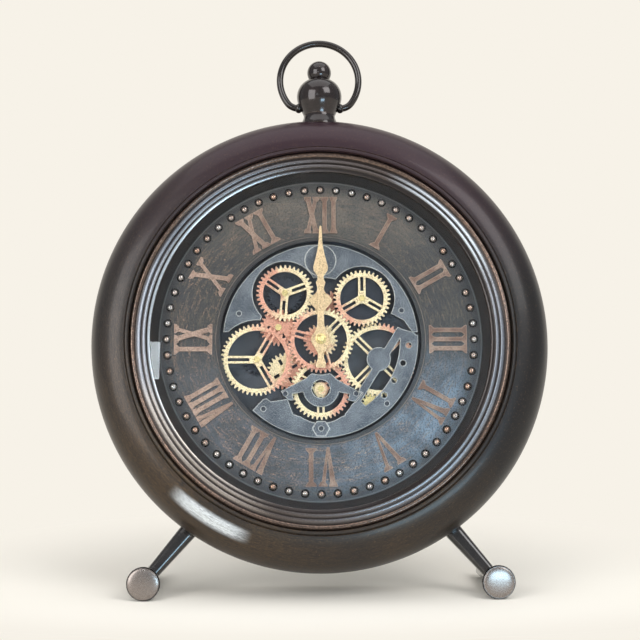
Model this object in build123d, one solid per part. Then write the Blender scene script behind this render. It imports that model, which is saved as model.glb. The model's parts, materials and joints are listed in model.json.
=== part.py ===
from build123d import *
import math
import os

# Table clock in the shape of a large pocket watch, with an open gear train in the dial.
# Clock frame, in millimetres: origin on the dial's front face at the hands' axis, +X to the
# right as the reader sees the dial, +Z towards XII, and +Y into the clock. A "depth" below is
# a Y value in this frame, so the glass and hands have negative depths.
# The finished clock leans back on its feet: see stand_up().

# ---------------------------------------------------------------- driving dimensions
RUNNING_FIT = 0.05
END_PLAY = 0.15
SEATED_FIT = 0.1

CASE_RADIUS = 135.0
CASE_BACK = 46.5
CASE_WALL = 1.6
CASE_CORNER = 6.5
SHOULDER_RADIUS = 21.5
SHOULDER_STEPS = 9
INNER_SHOULDER_STEPS = 3
BEAD_WIDTH = 2.6
BEAD_PROUD = 1.2
COLLAR_WALL = 1.6
BACK_FLANGE_RADIUS = 108.0

BEZEL_RING_WIDTH = 5.5
BEZEL_LIP_RADIUS = 98.9
BEZEL_FRONT = -10.9
BEZEL_COVE = 1.9
BEZEL_OVERHANG = 0.9
BEZEL_STEP_HEIGHT = 1.6
BEZEL_STEP_DROP = 0.3
BEZEL_GROOVE = 0.75
LIP_FRONT = -8.7
GLASS_THICKNESS = 2.1
GLASS_BACK = -5.8

DIAL_THICKNESS = 1.2
DIAL_MARGIN = 9.0
DIAL_OPENING_RADIUS = 59.0
REHAUT_FOOT_RADIUS = 94.8

RIM_SCREW_RADIUS = 1.5
BRACKET_ANGLES = (45, 135, 225, 315)
BRACKET_WIDTH = 14.0
BRACKET_SHEET = 2.0

COVER_RADIUS = 122.0
COVER_OPENING_RADIUS = 84.0
COVER_THICKNESS = 1.2
COVER_LIP_DEPTH = 3.0
COVER_SCREW_ANGLES = (45, 135, 225, 315)

CROWN_DEPTH = 10.0
CROWN_NECK_RADIUS = 9.7
NECK_FLARE = 0.8
NECK_SINK = 3.0
NECK_HEIGHT = 4.0
NECK_SLOPE_HEIGHT = 1.5
CROWN_WAIST_RADIUS = 8.7
CROWN_BULB_RADIUS = 13.7
CROWN_BULB_RISE = 15.5
CROWN_JOIN_RADIUS = 5.6
CROWN_BALL_RADIUS = 7.3
CROWN_BALL_RISE = 5.8
BOW_WIRE_RADIUS = 2.1
BOW_WIRE_SIDES = 10
BOW_RADIUS = 24.0
BOW_CENTRE_RISE = 26.5
BOW_PIVOT_RISE = 9.0
BOW_PIN_RADIUS = 1.7
BOW_PIN_DEPTH = 6.0

LEAN_DEGREES = 10.0
FOOT_X = 102.0
FOOT_CLEARANCE = 4.0
FOOT_FRONT = -20.0
FOOT_CAP_RADIUS = 9.7
FOOT_CAP_THICKNESS = 4.2
FOOT_ROD_RADIUS = 4.6
FOOT_ROD_LENGTH = 64.0
LEG_TOP_WIDTH = 10.5
LEG_FOOT_WIDTH = 7.6
LEG_SIDES = 8
LEG_CLOCK_ANGLE = 35.0
LEG_TOP_DEPTH = 24.0
LEG_TOP_SINK = 4.0
LEG_COLLAR_WALL = 2.0
LEG_COLLAR_FRONT = 6.5
LEG_COLLAR_LENGTH = 11.0

MODULE = 0.85
ADDENDUM = 0.9 * MODULE
DEDENDUM = 1.2 * MODULE
TOOTH_TIP_SHARE = 0.26
TOOTH_ROOT_SHARE = 0.66
GEAR_THICKNESS = 1.6
FRONT_LAYER = 2.2
MIDDLE_LAYER = 5.4
REAR_LAYER = 8.6
GEAR_RIM = 2.2
SPOKE_WIDTH = 4.4
SPOKE_SLOT = 1.9
SLEEVE_RADIUS = 2.9
IDLER_RIM = 1.4
CENTRE_HUB_WALL = 1.7
LOWER_HUB_RADIUS = 3.4

# Teeth of each wheel and pinion.
CENTRE_TEETH = 44
CENTRE_PINION_TEETH = 22
LEFT_TEETH = 38
LEFT_PINION_TEETH = 24
LEFT_IDLER_TEETH = 24
RIGHT_TEETH = 38
RIGHT_PINION_TEETH = 17
RIGHT_IDLER_TEETH = 18
LARGE_TEETH = 48
LARGE_PINION_TEETH = 18
LARGE_IDLER_TEETH = 24
FOUR_ARM_TEETH = 50
LOWER_TEETH = 40
DRIVE_PINION_TEETH = 10

# Way from each arbor to the next one in mesh with it, in degrees from +X towards XII.
LEFT_HEADING = 127.0
RIGHT_HEADING = 45.4
LARGE_HEADING = 197.3
LEFT_IDLER_HEADING = 259.0
RIGHT_IDLER_HEADING = 188.0
LARGE_IDLER_HEADING = 340.4
FOUR_ARM_HEADING = 284.8
DRIVE_HEADING = 257.8

POST_RADIUS = 1.5
POST_SHOULDER = 1.3
POST_HEAD_RADIUS = 2.1
POST_HEAD_HEIGHT = 1.1

PLATE_FRONT = 2.4
PLATE_THICKNESS = 1.9
PLATE_RADIUS = 57.3
PLATE_GEAR_GAP = 2.3
PLATE_SCREW_RADIUS = 1.4
PLATE_SCREW_SINK = 0.4
PILLAR_RADIUS = 2.4
SLIM_PILLAR_RADIUS = 1.7
UPPER_PILLARS = ((-48.0, 15.8), (47.7, 17.6), (0.0, 47.6))
LOWER_PILLARS = ((0.0, -52.0), (38.5, -37.5), (-33.5, -40.5))
BRIDGE_PILLARS = ((-20.8, -31.6), (20.6, -31.6))
UPPER_PLATE_FOOT_Z = 4.8
UPPER_PLATE_INNER_RADIUS = 37.4
BOSS_RADIUS = 9.2
BOSS_HEIGHT = 0.7
HEX_BOSS_RADIUS = 5.0
HEX_BOSS_HEIGHT = 0.6
ARM_INNER_RADIUS = 46.6
ARM_BAR_WIDTH = 4.6
ARM_BAR_END = (20.5, -36.5)
ARM_BOSS_RADIUS = 7.0
ARM_HOLE_RADIUS = 1.7
ARM_HOLES = ((51.7, -3.2), (48.2, -13.7), (42.8, -23.8), (36.9, -32.6))
BRIDGE_GAP = 0.4
BRIDGE_TOP_GAP = 1.0
BRIDGE_RING_RADIUS = 10.5
BRIDGE_RIB_RADIUS = 17.0
BRIDGE_HOLE_RADIUS = 5.3

TRAY_FLOOR = 12.5
TRAY_THICKNESS = 2.0
TRAY_BORE_RADIUS = 61.5
TRAY_FLANGE_WIDTH = 6.5
TRAY_SCREW_ANGLES = (20, 110, 200, 290)
DRIVE_SHAFT_RADIUS = 1.0
DRIVE_SHAFT_HOLE = 1.5
DRIVE_SHAFT_SEAT = 4.0

MINUTE_LENGTH = 68.0
MINUTE_SPADE_AT = 42.0
MINUTE_SPADE_WIDTH = 8.6
MINUTE_NECK = 4.4
MINUTE_HUB_RADIUS = 5.0
MINUTE_TAIL = 13.0
MINUTE_TAIL_WIDTH = 4.8
HOUR_LENGTH = 46.0
HOUR_SPADE_AT = 26.0
HOUR_SPADE_WIDTH = 12.2
HOUR_NECK = 4.2
HOUR_HUB_RADIUS = 5.6
HAND_THICKNESS = 0.8
HAND_TIP_WIDTH = 0.6
HOUR_HAND_BACK = 0.2
MINUTE_HAND_BACK = -1.4
CAP_RADIUS = 3.2
CAP_HEIGHT = 1.9
CAP_RIM = 0.5
ARBOR_RADIUS = 1.5
PIPE_RADIUS = 2.5
PIPE_SEAT = 3.0
BUSH_RADIUS = 3.7
BUSH_SHOULDER = 1.6
COLLAR_THICKNESS = 1.2
COLLAR_RIM = 1.9
NUT_RADIUS = 6.5
NUT_THICKNESS = 2.2

MOVEMENT_SIDE = 56.0
MOVEMENT_DEPTH = 15.5
MOVEMENT_CORNER = 3.0
MOVEMENT_RECESS = (47.6, 25.2, 0.8)
SETTING_KNOB = (13.0, 11.0)
KNOB_RADIUS = 5.5
KNOB_HEIGHT = 3.2
KNOB_FLUTES = 14
KNOB_SEAT = 4.0
CLOCK_CELL = (0.0, -18.5)
CELL_RADIUS = 7.15
CELL_LENGTH = 50.0
CELL_NUB = 1.0
CELL_NUB_RADIUS = 2.6
CELL_GAP = 0.35
DRIVE_BOX = (-20.0, -47.8)
DRIVE_BOX_SIZE = (60.0, 35.0)
DRIVE_BOX_CORNER = 2.0
DRIVE_DEPTH = 17.0
MOTOR_RADIUS = 8.2
MOTOR_LENGTH = 12.0
MOTOR_BOSS_LENGTH = 1.5
SWITCH_CENTRE = (-39.0, -23.5)
SWITCH_BODY = (20.0, 8.0, 6.0)
SWITCH_SLOT = (9.0, 3.4, 2.5)
SWITCH_LEVER = (4.0, 3.0, 2.5)
SWITCH_TRAVEL = 3.0

# ---------------------------------------------------------------- derived sizes
SHOULDER_CENTRE_R = CASE_RADIUS - SHOULDER_RADIUS
SHOULDER_CENTRE_D = CROWN_DEPTH
SHOULDER_FRONT = SHOULDER_CENTRE_D - SHOULDER_RADIUS
COLLAR_BORE = SHOULDER_CENTRE_R - BEAD_WIDTH
BEZEL_OUTER = COLLAR_BORE - SEATED_FIT
BEZEL_BORE = BEZEL_OUTER - BEZEL_RING_WIDTH
GLASS_FRONT = GLASS_BACK - GLASS_THICKNESS
GLASS_RADIUS = BEZEL_BORE - SEATED_FIT
DIAL_RADIUS = COLLAR_BORE + COLLAR_WALL + DIAL_MARGIN
BRACKET_SCREW_CIRCLE = DIAL_RADIUS - DIAL_MARGIN / 2
COVER_SCREW_CIRCLE = (BACK_FLANGE_RADIUS + COVER_RADIUS) / 2
NECK_FOOT_Z = CASE_RADIUS - NECK_SINK
NECK_TOP_Z = CASE_RADIUS + NECK_HEIGHT
CROWN_BULB_Z = CASE_RADIUS + CROWN_BULB_RISE
BOW_CENTRE_Z = CASE_RADIUS + BOW_CENTRE_RISE
BOW_PIVOT_Z = CASE_RADIUS + BOW_PIVOT_RISE
BOW_END_X = math.sqrt(BOW_RADIUS**2 - (BOW_CENTRE_Z - BOW_PIVOT_Z) ** 2)
FOOT_DROP = CASE_RADIUS + FOOT_CLEARANCE
LEG_COLLAR_RADIUS = FOOT_ROD_RADIUS + LEG_COLLAR_WALL
FOOT_SLOPE = math.degrees(math.asin((FOOT_CAP_RADIUS - FOOT_ROD_RADIUS) / FOOT_ROD_LENGTH))
POST_BORE = POST_RADIUS + RUNNING_FIT
ARBOR_BORE = BUSH_RADIUS + RUNNING_FIT
PIPE_BORE = ARBOR_RADIUS + RUNNING_FIT
BUSH_BORE = PIPE_RADIUS + RUNNING_FIT
PLATE_BACK = PLATE_FRONT + PLATE_THICKNESS
LOWER_HUB_FRONT = PLATE_FRONT + 1.0
TRAY_BACK = TRAY_FLOOR + TRAY_THICKNESS
TRAY_FLANGE_RADIUS = TRAY_BORE_RADIUS + TRAY_THICKNESS + TRAY_FLANGE_WIDTH
TRAY_SCREW_CIRCLE = TRAY_FLANGE_RADIUS - TRAY_FLANGE_WIDTH / 2
MOVEMENT_BACK = TRAY_BACK + MOVEMENT_DEPTH
DRIVE_BACK = TRAY_BACK + DRIVE_DEPTH
NUT_FRONT = TRAY_FLOOR - NUT_THICKNESS
BUSH_SHOULDER_FRONT = MIDDLE_LAYER + GEAR_THICKNESS + END_PLAY
COLLAR_BACK = FRONT_LAYER - END_PLAY
HANDS_BACK_END = TRAY_BACK + PIPE_SEAT - END_PLAY


def pitch_radius(teeth):
    return MODULE * teeth / 2


def tip_radius(teeth):
    return pitch_radius(teeth) + ADDENDUM


def centre_distance(teeth_a, teeth_b):
    return pitch_radius(teeth_a) + pitch_radius(teeth_b)


def meshed_from(centre, heading, teeth_a, teeth_b):
    """Centre of a gear in mesh with the one at `centre`, in the direction `heading`."""
    reach = centre_distance(teeth_a, teeth_b)
    angle = math.radians(heading)
    return (centre[0] + reach * math.cos(angle), centre[1] + reach * math.sin(angle))


def heading_between(start, end):
    return math.degrees(math.atan2(end[1] - start[1], end[0] - start[0]))


def below(centre, reach, x):
    """The point at `x` that lies `reach` away from `centre`, on its lower side."""
    return (x, centre[1] - math.sqrt(reach**2 - (x - centre[0]) ** 2))


def driven_phase(phase, start, end, teeth_a, teeth_b):
    """Phase of gear b at `end` when gear a at `start` has the given phase."""
    heading = heading_between(start, end)
    share = ((heading - phase) * teeth_a / 360) % 1
    return heading + 180 + (share - 0.5) * 360 / teeth_b


# Arbor places on the dial (x, z), each from the pitch circles that mesh there.
CENTRE = (0.0, 0.0)
LEFT = meshed_from(CENTRE, LEFT_HEADING, CENTRE_TEETH, LEFT_TEETH)
RIGHT = meshed_from(CENTRE, RIGHT_HEADING, CENTRE_TEETH, RIGHT_TEETH)
LARGE = meshed_from(CENTRE, LARGE_HEADING, CENTRE_TEETH, LARGE_TEETH)
LEFT_IDLER = meshed_from(LEFT, LEFT_IDLER_HEADING, LEFT_PINION_TEETH, LEFT_IDLER_TEETH)
RIGHT_IDLER = meshed_from(RIGHT, RIGHT_IDLER_HEADING, RIGHT_PINION_TEETH, RIGHT_IDLER_TEETH)
LARGE_IDLER = meshed_from(LARGE, LARGE_IDLER_HEADING, LARGE_PINION_TEETH, LARGE_IDLER_TEETH)
FOUR_ARM = meshed_from(RIGHT, FOUR_ARM_HEADING, RIGHT_TEETH, FOUR_ARM_TEETH)
LOWER = below(FOUR_ARM, centre_distance(FOUR_ARM_TEETH, LOWER_TEETH), 0.0)
DRIVE = meshed_from(FOUR_ARM, DRIVE_HEADING, FOUR_ARM_TEETH, DRIVE_PINION_TEETH)

# Angle of one tooth of each gear, so that every pair is in mesh.
CENTRE_PHASE = 0.0
PINION_PHASE = 0.0
LEFT_PHASE = driven_phase(CENTRE_PHASE, CENTRE, LEFT, CENTRE_TEETH, LEFT_TEETH)
RIGHT_PHASE = driven_phase(CENTRE_PHASE, CENTRE, RIGHT, CENTRE_TEETH, RIGHT_TEETH)
LARGE_PHASE = driven_phase(CENTRE_PHASE, CENTRE, LARGE, CENTRE_TEETH, LARGE_TEETH)
LEFT_IDLER_PHASE = driven_phase(PINION_PHASE, LEFT, LEFT_IDLER, LEFT_PINION_TEETH, LEFT_IDLER_TEETH)
RIGHT_IDLER_PHASE = driven_phase(PINION_PHASE, RIGHT, RIGHT_IDLER, RIGHT_PINION_TEETH, RIGHT_IDLER_TEETH)
LARGE_IDLER_PHASE = driven_phase(PINION_PHASE, LARGE, LARGE_IDLER, LARGE_PINION_TEETH, LARGE_IDLER_TEETH)
FOUR_ARM_PHASE = driven_phase(PINION_PHASE, RIGHT, FOUR_ARM, RIGHT_TEETH, FOUR_ARM_TEETH)
LOWER_PHASE = driven_phase(FOUR_ARM_PHASE, FOUR_ARM, LOWER, FOUR_ARM_TEETH, LOWER_TEETH)
DRIVE_PHASE = driven_phase(FOUR_ARM_PHASE, FOUR_ARM, DRIVE, FOUR_ARM_TEETH, DRIVE_PINION_TEETH)

# Each post: its place, and the front and back of what turns on it.
POSTS = (
    (LEFT, FRONT_LAYER, MIDDLE_LAYER + GEAR_THICKNESS),
    (RIGHT, FRONT_LAYER, REAR_LAYER + GEAR_THICKNESS),
    (LARGE, FRONT_LAYER, REAR_LAYER + GEAR_THICKNESS),
    (LEFT_IDLER, MIDDLE_LAYER, MIDDLE_LAYER + GEAR_THICKNESS),
    (RIGHT_IDLER, REAR_LAYER, REAR_LAYER + GEAR_THICKNESS),
    (LARGE_IDLER, REAR_LAYER, REAR_LAYER + GEAR_THICKNESS),
    (LOWER, LOWER_HUB_FRONT, MIDDLE_LAYER + GEAR_THICKNESS),
    (FOUR_ARM, PLATE_BACK + END_PLAY, MIDDLE_LAYER + GEAR_THICKNESS),
)
BARE_POSTS = (FOUR_ARM,)


# ---------------------------------------------------------------- drawing helpers
def face_plane(depth):
    """Plane of the dial at a depth, looking at the reader, with X right and Z up."""
    return Plane(origin=(0, depth, 0), x_dir=(1, 0, 0), z_dir=(0, -1, 0))


def plate(sketch, front, back):
    return extrude(face_plane(back) * sketch, amount=back - front)


def disc(centre, radius, front, back):
    return plate(Pos(*centre) * Circle(radius), front, back)


def tube(centre, radius, bore, front, back):
    return plate(Pos(*centre) * (Circle(radius) - Circle(bore)), front, back)


def turned(*points):
    """A solid turned about the clock's axis from an outline of (radius, depth) points."""
    return revolve(make_face(Polyline(*points, close=True)), Axis.Y)


def group(*solids):
    return Compound(list(solids))


def polygon(*points):
    """A filled outline whose face looks at the reader, whichever way round it is listed."""
    pairs = zip(points, points[1:] + points[:1])
    doubled_area = sum(start[0] * end[1] - end[0] * start[1] for start, end in pairs)
    ordered = points if doubled_area > 0 else points[::-1]
    return Polygon(*ordered, align=None)


def arc_points(centre, radii, start, end, steps):
    """Points of an elliptic arc, with the two half-axes in `radii` and the angles in degrees."""
    points = []
    for step in range(steps + 1):
        angle = math.radians(start + (end - start) * step / steps)
        points.append((centre[0] + radii[0] * math.cos(angle), centre[1] + radii[1] * math.sin(angle)))
    return points


def polar(radius, degrees, centre=(0.0, 0.0)):
    angle = math.radians(degrees)
    return (centre[0] + radius * math.cos(angle), centre[1] + radius * math.sin(angle))


# ---------------------------------------------------------------- case
def shoulder_points(radius):
    """The rounded shoulder, from its front edge out to the drum."""
    centre = (SHOULDER_CENTRE_R, SHOULDER_CENTRE_D)
    return arc_points(centre, (radius, radius), -90, 0, SHOULDER_STEPS)


def inner_shoulder_points():
    inner = SHOULDER_RADIUS - CASE_WALL
    centre = (SHOULDER_CENTRE_R, SHOULDER_CENTRE_D)
    return arc_points(centre, (inner, inner), 0, -90, INNER_SHOULDER_STEPS)


def case_shell():
    """Spun shell: bead, rounded shoulder, drum and turned-in back flange."""
    corner = (CASE_RADIUS - CASE_CORNER, CASE_BACK - CASE_CORNER)
    bead = (COLLAR_BORE + BEAD_WIDTH / 2, SHOULDER_FRONT)
    return turned(
        (COLLAR_BORE, 0),
        *arc_points(bead, (BEAD_WIDTH / 2, BEAD_PROUD), 180, 360, 4)[:-1],
        *shoulder_points(SHOULDER_RADIUS),
        *arc_points(corner, (CASE_CORNER, CASE_CORNER), 0, 90, 3),
        (BACK_FLANGE_RADIUS, CASE_BACK),
        (BACK_FLANGE_RADIUS, CASE_BACK - CASE_WALL),
        (corner[0], CASE_BACK - CASE_WALL),
        (CASE_RADIUS - CASE_WALL, corner[1]),
        *inner_shoulder_points(),
        (COLLAR_BORE + COLLAR_WALL, SHOULDER_FRONT + CASE_WALL),
        (COLLAR_BORE + COLLAR_WALL, 0),
    )


def bezel_ring():
    """Stepped inner ring that drops into the shell's collar and holds the glass."""
    step_outer = BEZEL_OUTER - BEZEL_COVE
    step_inner = BEZEL_BORE - BEZEL_OVERHANG
    step_middle = ((step_outer + step_inner) / 2, BEZEL_FRONT + BEZEL_STEP_HEIGHT)
    step_radii = ((step_outer - step_inner) / 2, BEZEL_STEP_HEIGHT)
    groove_r = step_inner - BEZEL_GROOVE
    return turned(
        (BEZEL_BORE, 0),
        (BEZEL_OUTER, 0),
        (BEZEL_OUTER, BEZEL_FRONT + BEZEL_STEP_HEIGHT - BEZEL_STEP_DROP),
        *arc_points(step_middle, step_radii, 0, -180, 5),
        (groove_r, BEZEL_FRONT + BEZEL_STEP_HEIGHT),
        (groove_r - BEZEL_GROOVE, BEZEL_FRONT + BEZEL_GROOVE),
        (groove_r - 2.2 * BEZEL_GROOVE, BEZEL_FRONT + 1.5 * BEZEL_GROOVE),
        (BEZEL_LIP_RADIUS, LIP_FRONT),
        (BEZEL_LIP_RADIUS, GLASS_FRONT),
        (BEZEL_BORE, GLASS_FRONT),
    )


def glass_lens():
    return disc(CENTRE, GLASS_RADIUS, GLASS_FRONT, GLASS_BACK)


def rehaut_ring():
    """Sloped black ring between the glass and the dial."""
    return turned(
        (BEZEL_LIP_RADIUS, GLASS_BACK),
        (GLASS_RADIUS, GLASS_BACK),
        (GLASS_RADIUS, 0),
        (REHAUT_FOOT_RADIUS, 0),
    )


def dial_plate():
    return tube(CENTRE, DIAL_RADIUS, DIAL_OPENING_RADIUS, 0, DIAL_THICKNESS)


def dial_bracket(angle):
    """Bent tab welded to the inside of the drum, which the dial plate's edge is screwed to."""
    wall = CASE_RADIUS - CASE_WALL
    back = DIAL_THICKNESS + BRACKET_SHEET
    tab_inner = DIAL_RADIUS - DIAL_MARGIN
    bend = wall - 2 * BRACKET_SHEET
    section = polygon(
        (tab_inner, DIAL_THICKNESS),
        (wall, DIAL_THICKNESS),
        (wall, SHOULDER_CENTRE_D + BRACKET_WIDTH),
        (wall - BRACKET_SHEET, SHOULDER_CENTRE_D + BRACKET_WIDTH),
        (wall - BRACKET_SHEET, SHOULDER_CENTRE_D),
        (bend, back),
        (tab_inner, back),
    )
    bent = extrude(section, amount=BRACKET_WIDTH / 2, both=True)
    screw_hole = Pos(BRACKET_SCREW_CIRCLE, 0, 0) * Rot(90, 0, 0) * Cylinder(RIM_SCREW_RADIUS, 4 * back)
    # The shell's shoulder curves in at this depth, so the tab is trimmed to its inside.
    return Rot(0, -angle, 0) * (bent - screw_hole) & case_hollow()


def case_hollow():
    """The space inside the shell."""
    return turned(
        (0, SHOULDER_FRONT + CASE_WALL),
        (0, CASE_BACK - CASE_CORNER),
        (CASE_RADIUS - CASE_WALL, CASE_BACK - CASE_CORNER),
        *inner_shoulder_points(),
    )


def dial_brackets():
    return group(*(dial_bracket(angle) for angle in BRACKET_ANGLES))


def rim_screws(circle, angles, front, back):
    """Hexagon-head screws round a rim, with their heads behind it."""
    screws = []
    for angle in angles:
        centre = Pos(*polar(circle, angle))
        shank = plate(centre * RegularPolygon(RIM_SCREW_RADIUS - RUNNING_FIT, 6), front, back)
        head = plate(centre * RegularPolygon(2 * RIM_SCREW_RADIUS, 6), back, back + RIM_SCREW_RADIUS)
        screws.append(shank + head)
    return group(*screws)


def screw_holes(circle, angles, front, back):
    holes = Sketch()
    for angle in angles:
        holes += Pos(*polar(circle, angle)) * Circle(RIM_SCREW_RADIUS)
    return plate(holes, front, back)


def dial_screws():
    """Screws that hold the dial plate's brackets to it."""
    back = DIAL_THICKNESS + BRACKET_SHEET
    return rim_screws(BRACKET_SCREW_CIRCLE, BRACKET_ANGLES, DIAL_THICKNESS, back)


def back_cover():
    """Flat steel ring behind the flange, with its inner edge turned in."""
    back = CASE_BACK + COVER_THICKNESS
    cover = turned(
        (COVER_RADIUS, CASE_BACK),
        (COVER_RADIUS, back),
        (COVER_OPENING_RADIUS, back),
        (COVER_OPENING_RADIUS, CASE_BACK - COVER_LIP_DEPTH),
        (COVER_OPENING_RADIUS + COVER_THICKNESS, CASE_BACK - COVER_LIP_DEPTH),
        (COVER_OPENING_RADIUS + COVER_THICKNESS, CASE_BACK),
    )
    return cover - screw_holes(COVER_SCREW_CIRCLE, COVER_SCREW_ANGLES, CASE_BACK, back)


def cover_screws():
    """Screws that hold the back cover to the shell's flange."""
    back = CASE_BACK + COVER_THICKNESS
    return rim_screws(COVER_SCREW_CIRCLE, COVER_SCREW_ANGLES, CASE_BACK, back)


# ---------------------------------------------------------------- crown and bow
def crown_neck():
    """Collar that stands on the drum, cut to the drum's curve."""
    neck = turned_on_crown(
        (0, NECK_FOOT_Z),
        (CROWN_NECK_RADIUS + NECK_FLARE, NECK_FOOT_Z),
        (CROWN_NECK_RADIUS, NECK_TOP_Z - NECK_SLOPE_HEIGHT),
        (CROWN_WAIST_RADIUS, NECK_TOP_Z),
        (0, NECK_TOP_Z),
    )
    return neck - case_envelope()


def case_envelope():
    """The shell's outer form as a filled solid, for trimming what stands on it."""
    return turned(
        (0, SHOULDER_FRONT),
        *shoulder_points(SHOULDER_RADIUS),
        (CASE_RADIUS, CASE_BACK - CASE_CORNER),
        (0, CASE_BACK - CASE_CORNER),
    )


def turned_on_crown(*points):
    """A solid turned about the crown's upright axis from (radius, z) points."""
    outline = make_face(Polyline(*points, close=True))
    return Pos(0, CROWN_DEPTH, 0) * revolve(Plane.XZ * outline, Axis.Z)


def crown_knob():
    """Turned bulb with a ball on top, cross-drilled for the bow's ends."""
    ball_z = BOW_CENTRE_Z + CROWN_BALL_RISE
    join_angle = math.degrees(math.acos(CROWN_JOIN_RADIUS / CROWN_BALL_RADIUS))
    join_z = ball_z - CROWN_BALL_RADIUS * math.sin(math.radians(join_angle))
    lower = (CROWN_BULB_RADIUS - CROWN_WAIST_RADIUS, CROWN_BULB_Z - NECK_TOP_Z)
    upper = (CROWN_BULB_RADIUS - CROWN_JOIN_RADIUS, join_z - CROWN_BULB_Z)
    knob = turned_on_crown(
        (0, NECK_TOP_Z),
        *arc_points((CROWN_WAIST_RADIUS, CROWN_BULB_Z), lower, -90, 0, 4),
        *arc_points((CROWN_JOIN_RADIUS, CROWN_BULB_Z), upper, 0, 90, 5)[1:],
        *arc_points((0, ball_z), (CROWN_BALL_RADIUS, CROWN_BALL_RADIUS), -join_angle, 90, 6)[1:],
    )
    for side in (-1, 1):
        knob -= bow_pin(side, BOW_PIN_RADIUS + RUNNING_FIT, BOW_PIN_DEPTH + END_PLAY)
    return knob


def bow_pin(side, radius, depth):
    """Straight end of the bow wire, from the ring's end to `depth` inside the bulb."""
    inner = CROWN_BULB_RADIUS - depth
    length = BOW_END_X + BOW_WIRE_RADIUS / 2 - inner
    pin = Cylinder(radius, length, align=(Align.CENTER, Align.CENTER, Align.MIN))
    return Pos(side * inner, CROWN_DEPTH, BOW_PIVOT_Z) * Rot(0, side * 90, 0) * pin


def bow_ring():
    """Open wire ring whose two straight ends turn in the bulb."""
    end_angle = math.degrees(math.asin((BOW_PIVOT_Z - BOW_CENTRE_Z) / BOW_RADIUS))
    sweep_angle = 180 - 2 * end_angle
    section = Pos(BOW_RADIUS, 0) * RegularPolygon(BOW_WIRE_RADIUS, BOW_WIRE_SIDES)
    ring = revolve(section, Axis.Y, sweep_angle)
    ring = Pos(0, CROWN_DEPTH, BOW_CENTRE_Z) * Rot(0, -90 - sweep_angle / 2, 0) * ring
    for side in (-1, 1):
        ring += bow_pin(side, BOW_PIN_RADIUS, BOW_PIN_DEPTH)
    return ring


# ---------------------------------------------------------------- feet
def foot_place(side, solid):
    """Moves a solid from the foot's own axis (+Y, cap at the front) to its place.

    The rod slopes so that the cap's rim and the rod's far end both meet the table.
    """
    table = Pos(side * FOOT_X, FOOT_FRONT, -FOOT_DROP) * Rot(-FOOT_SLOPE, 0, 0)
    return lean().inverse() * table * solid


def foot_cylinder(radius, front, back):
    return Pos(0, back, 0) * Rot(90, 0, 0) * Cylinder(
        radius, back - front, align=(Align.CENTER, Align.CENTER, Align.MIN)
    )


def foot_rod(side):
    rod = foot_cylinder(FOOT_ROD_RADIUS, FOOT_CAP_THICKNESS, FOOT_ROD_LENGTH)
    rod = chamfer(rod.edges().sort_by(Axis.Y)[-1], FOOT_ROD_RADIUS / 6)
    return foot_place(side, rod)


def foot_cap(side):
    """Button on the front of the rod, with a shallow domed face and a bevelled rim."""
    rim = FOOT_CAP_THICKNESS / 4
    cap = turned(
        (0, FOOT_CAP_THICKNESS),
        (FOOT_CAP_RADIUS - rim, FOOT_CAP_THICKNESS),
        (FOOT_CAP_RADIUS, FOOT_CAP_THICKNESS - rim),
        (FOOT_CAP_RADIUS, 1.6 * rim),
        *arc_points((0, rim), (FOOT_CAP_RADIUS - rim / 2, rim), 0, -90, 4),
    )
    return foot_place(side, cap)


def leg(side):
    """Tapered strut from the drum's side down to a collar round the foot rod."""
    angle = math.radians(LEG_CLOCK_ANGLE)
    top_r = CASE_RADIUS - LEG_TOP_SINK
    top = Vector(side * top_r * math.sin(angle), LEG_TOP_DEPTH, -top_r * math.cos(angle))
    rod_middle = Vector(0, LEG_COLLAR_FRONT + LEG_COLLAR_LENGTH / 2, 0)
    foot_location = foot_place(side, Location(rod_middle))
    foot = foot_location.position
    down = (foot - top).normalized()
    across = down.cross(Vector(0, 1, 0)).normalized()
    ends = ((top, LEG_TOP_WIDTH / 2), (foot, LEG_FOOT_WIDTH / 2))
    sections = []
    for origin, half_width in ends:
        outline = polygon(*arc_points((0, 0), (half_width, half_width), 0, 360, LEG_SIDES)[:-1])
        sections.append(Plane(origin=origin, x_dir=across, z_dir=down) * outline)
    strut = loft(sections, ruled=True)
    collar_back = LEG_COLLAR_FRONT + LEG_COLLAR_LENGTH
    collar = foot_place(side, foot_cylinder(LEG_COLLAR_RADIUS, LEG_COLLAR_FRONT, collar_back))
    rod_hole = foot_place(side, foot_cylinder(FOOT_ROD_RADIUS, 0, FOOT_ROD_LENGTH))
    return (strut + collar) - rod_hole - case_envelope()


# ---------------------------------------------------------------- gear train
def gear_blank(teeth, phase):
    """Outline of a gear with straight-sided teeth, one of them at the angle `phase`."""
    root = pitch_radius(teeth) - DEDENDUM
    tip = tip_radius(teeth)
    half_pitch = 180 / teeth
    corners = (
        (root, -TOOTH_ROOT_SHARE),
        (tip, -TOOTH_TIP_SHARE),
        (tip, TOOTH_TIP_SHARE),
        (root, TOOTH_ROOT_SHARE),
    )
    points = []
    for tooth in range(teeth):
        middle = phase + tooth * 360 / teeth
        points += [polar(radius, middle + share * half_pitch) for radius, share in corners]
    return polygon(*points)


def spoked(teeth, phase, spoke_angles):
    """A wheel whose spokes are pairs of thin bars."""
    window_r = pitch_radius(teeth) - DEDENDUM - GEAR_RIM
    reach = window_r + GEAR_RIM / 2
    spokes = Sketch()
    slots = Sketch()
    slot_length = window_r - SPOKE_WIDTH
    slot_middle = SPOKE_WIDTH + slot_length / 2
    for angle in spoke_angles:
        spokes += Rot(0, 0, angle) * Pos(reach / 2, 0) * Rectangle(reach, SPOKE_WIDTH)
        slots += Rot(0, 0, angle) * Pos(slot_middle, 0) * Rectangle(slot_length, SPOKE_SLOT)
    windows = Circle(window_r) - spokes
    return gear_blank(teeth, phase) - windows - slots


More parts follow.
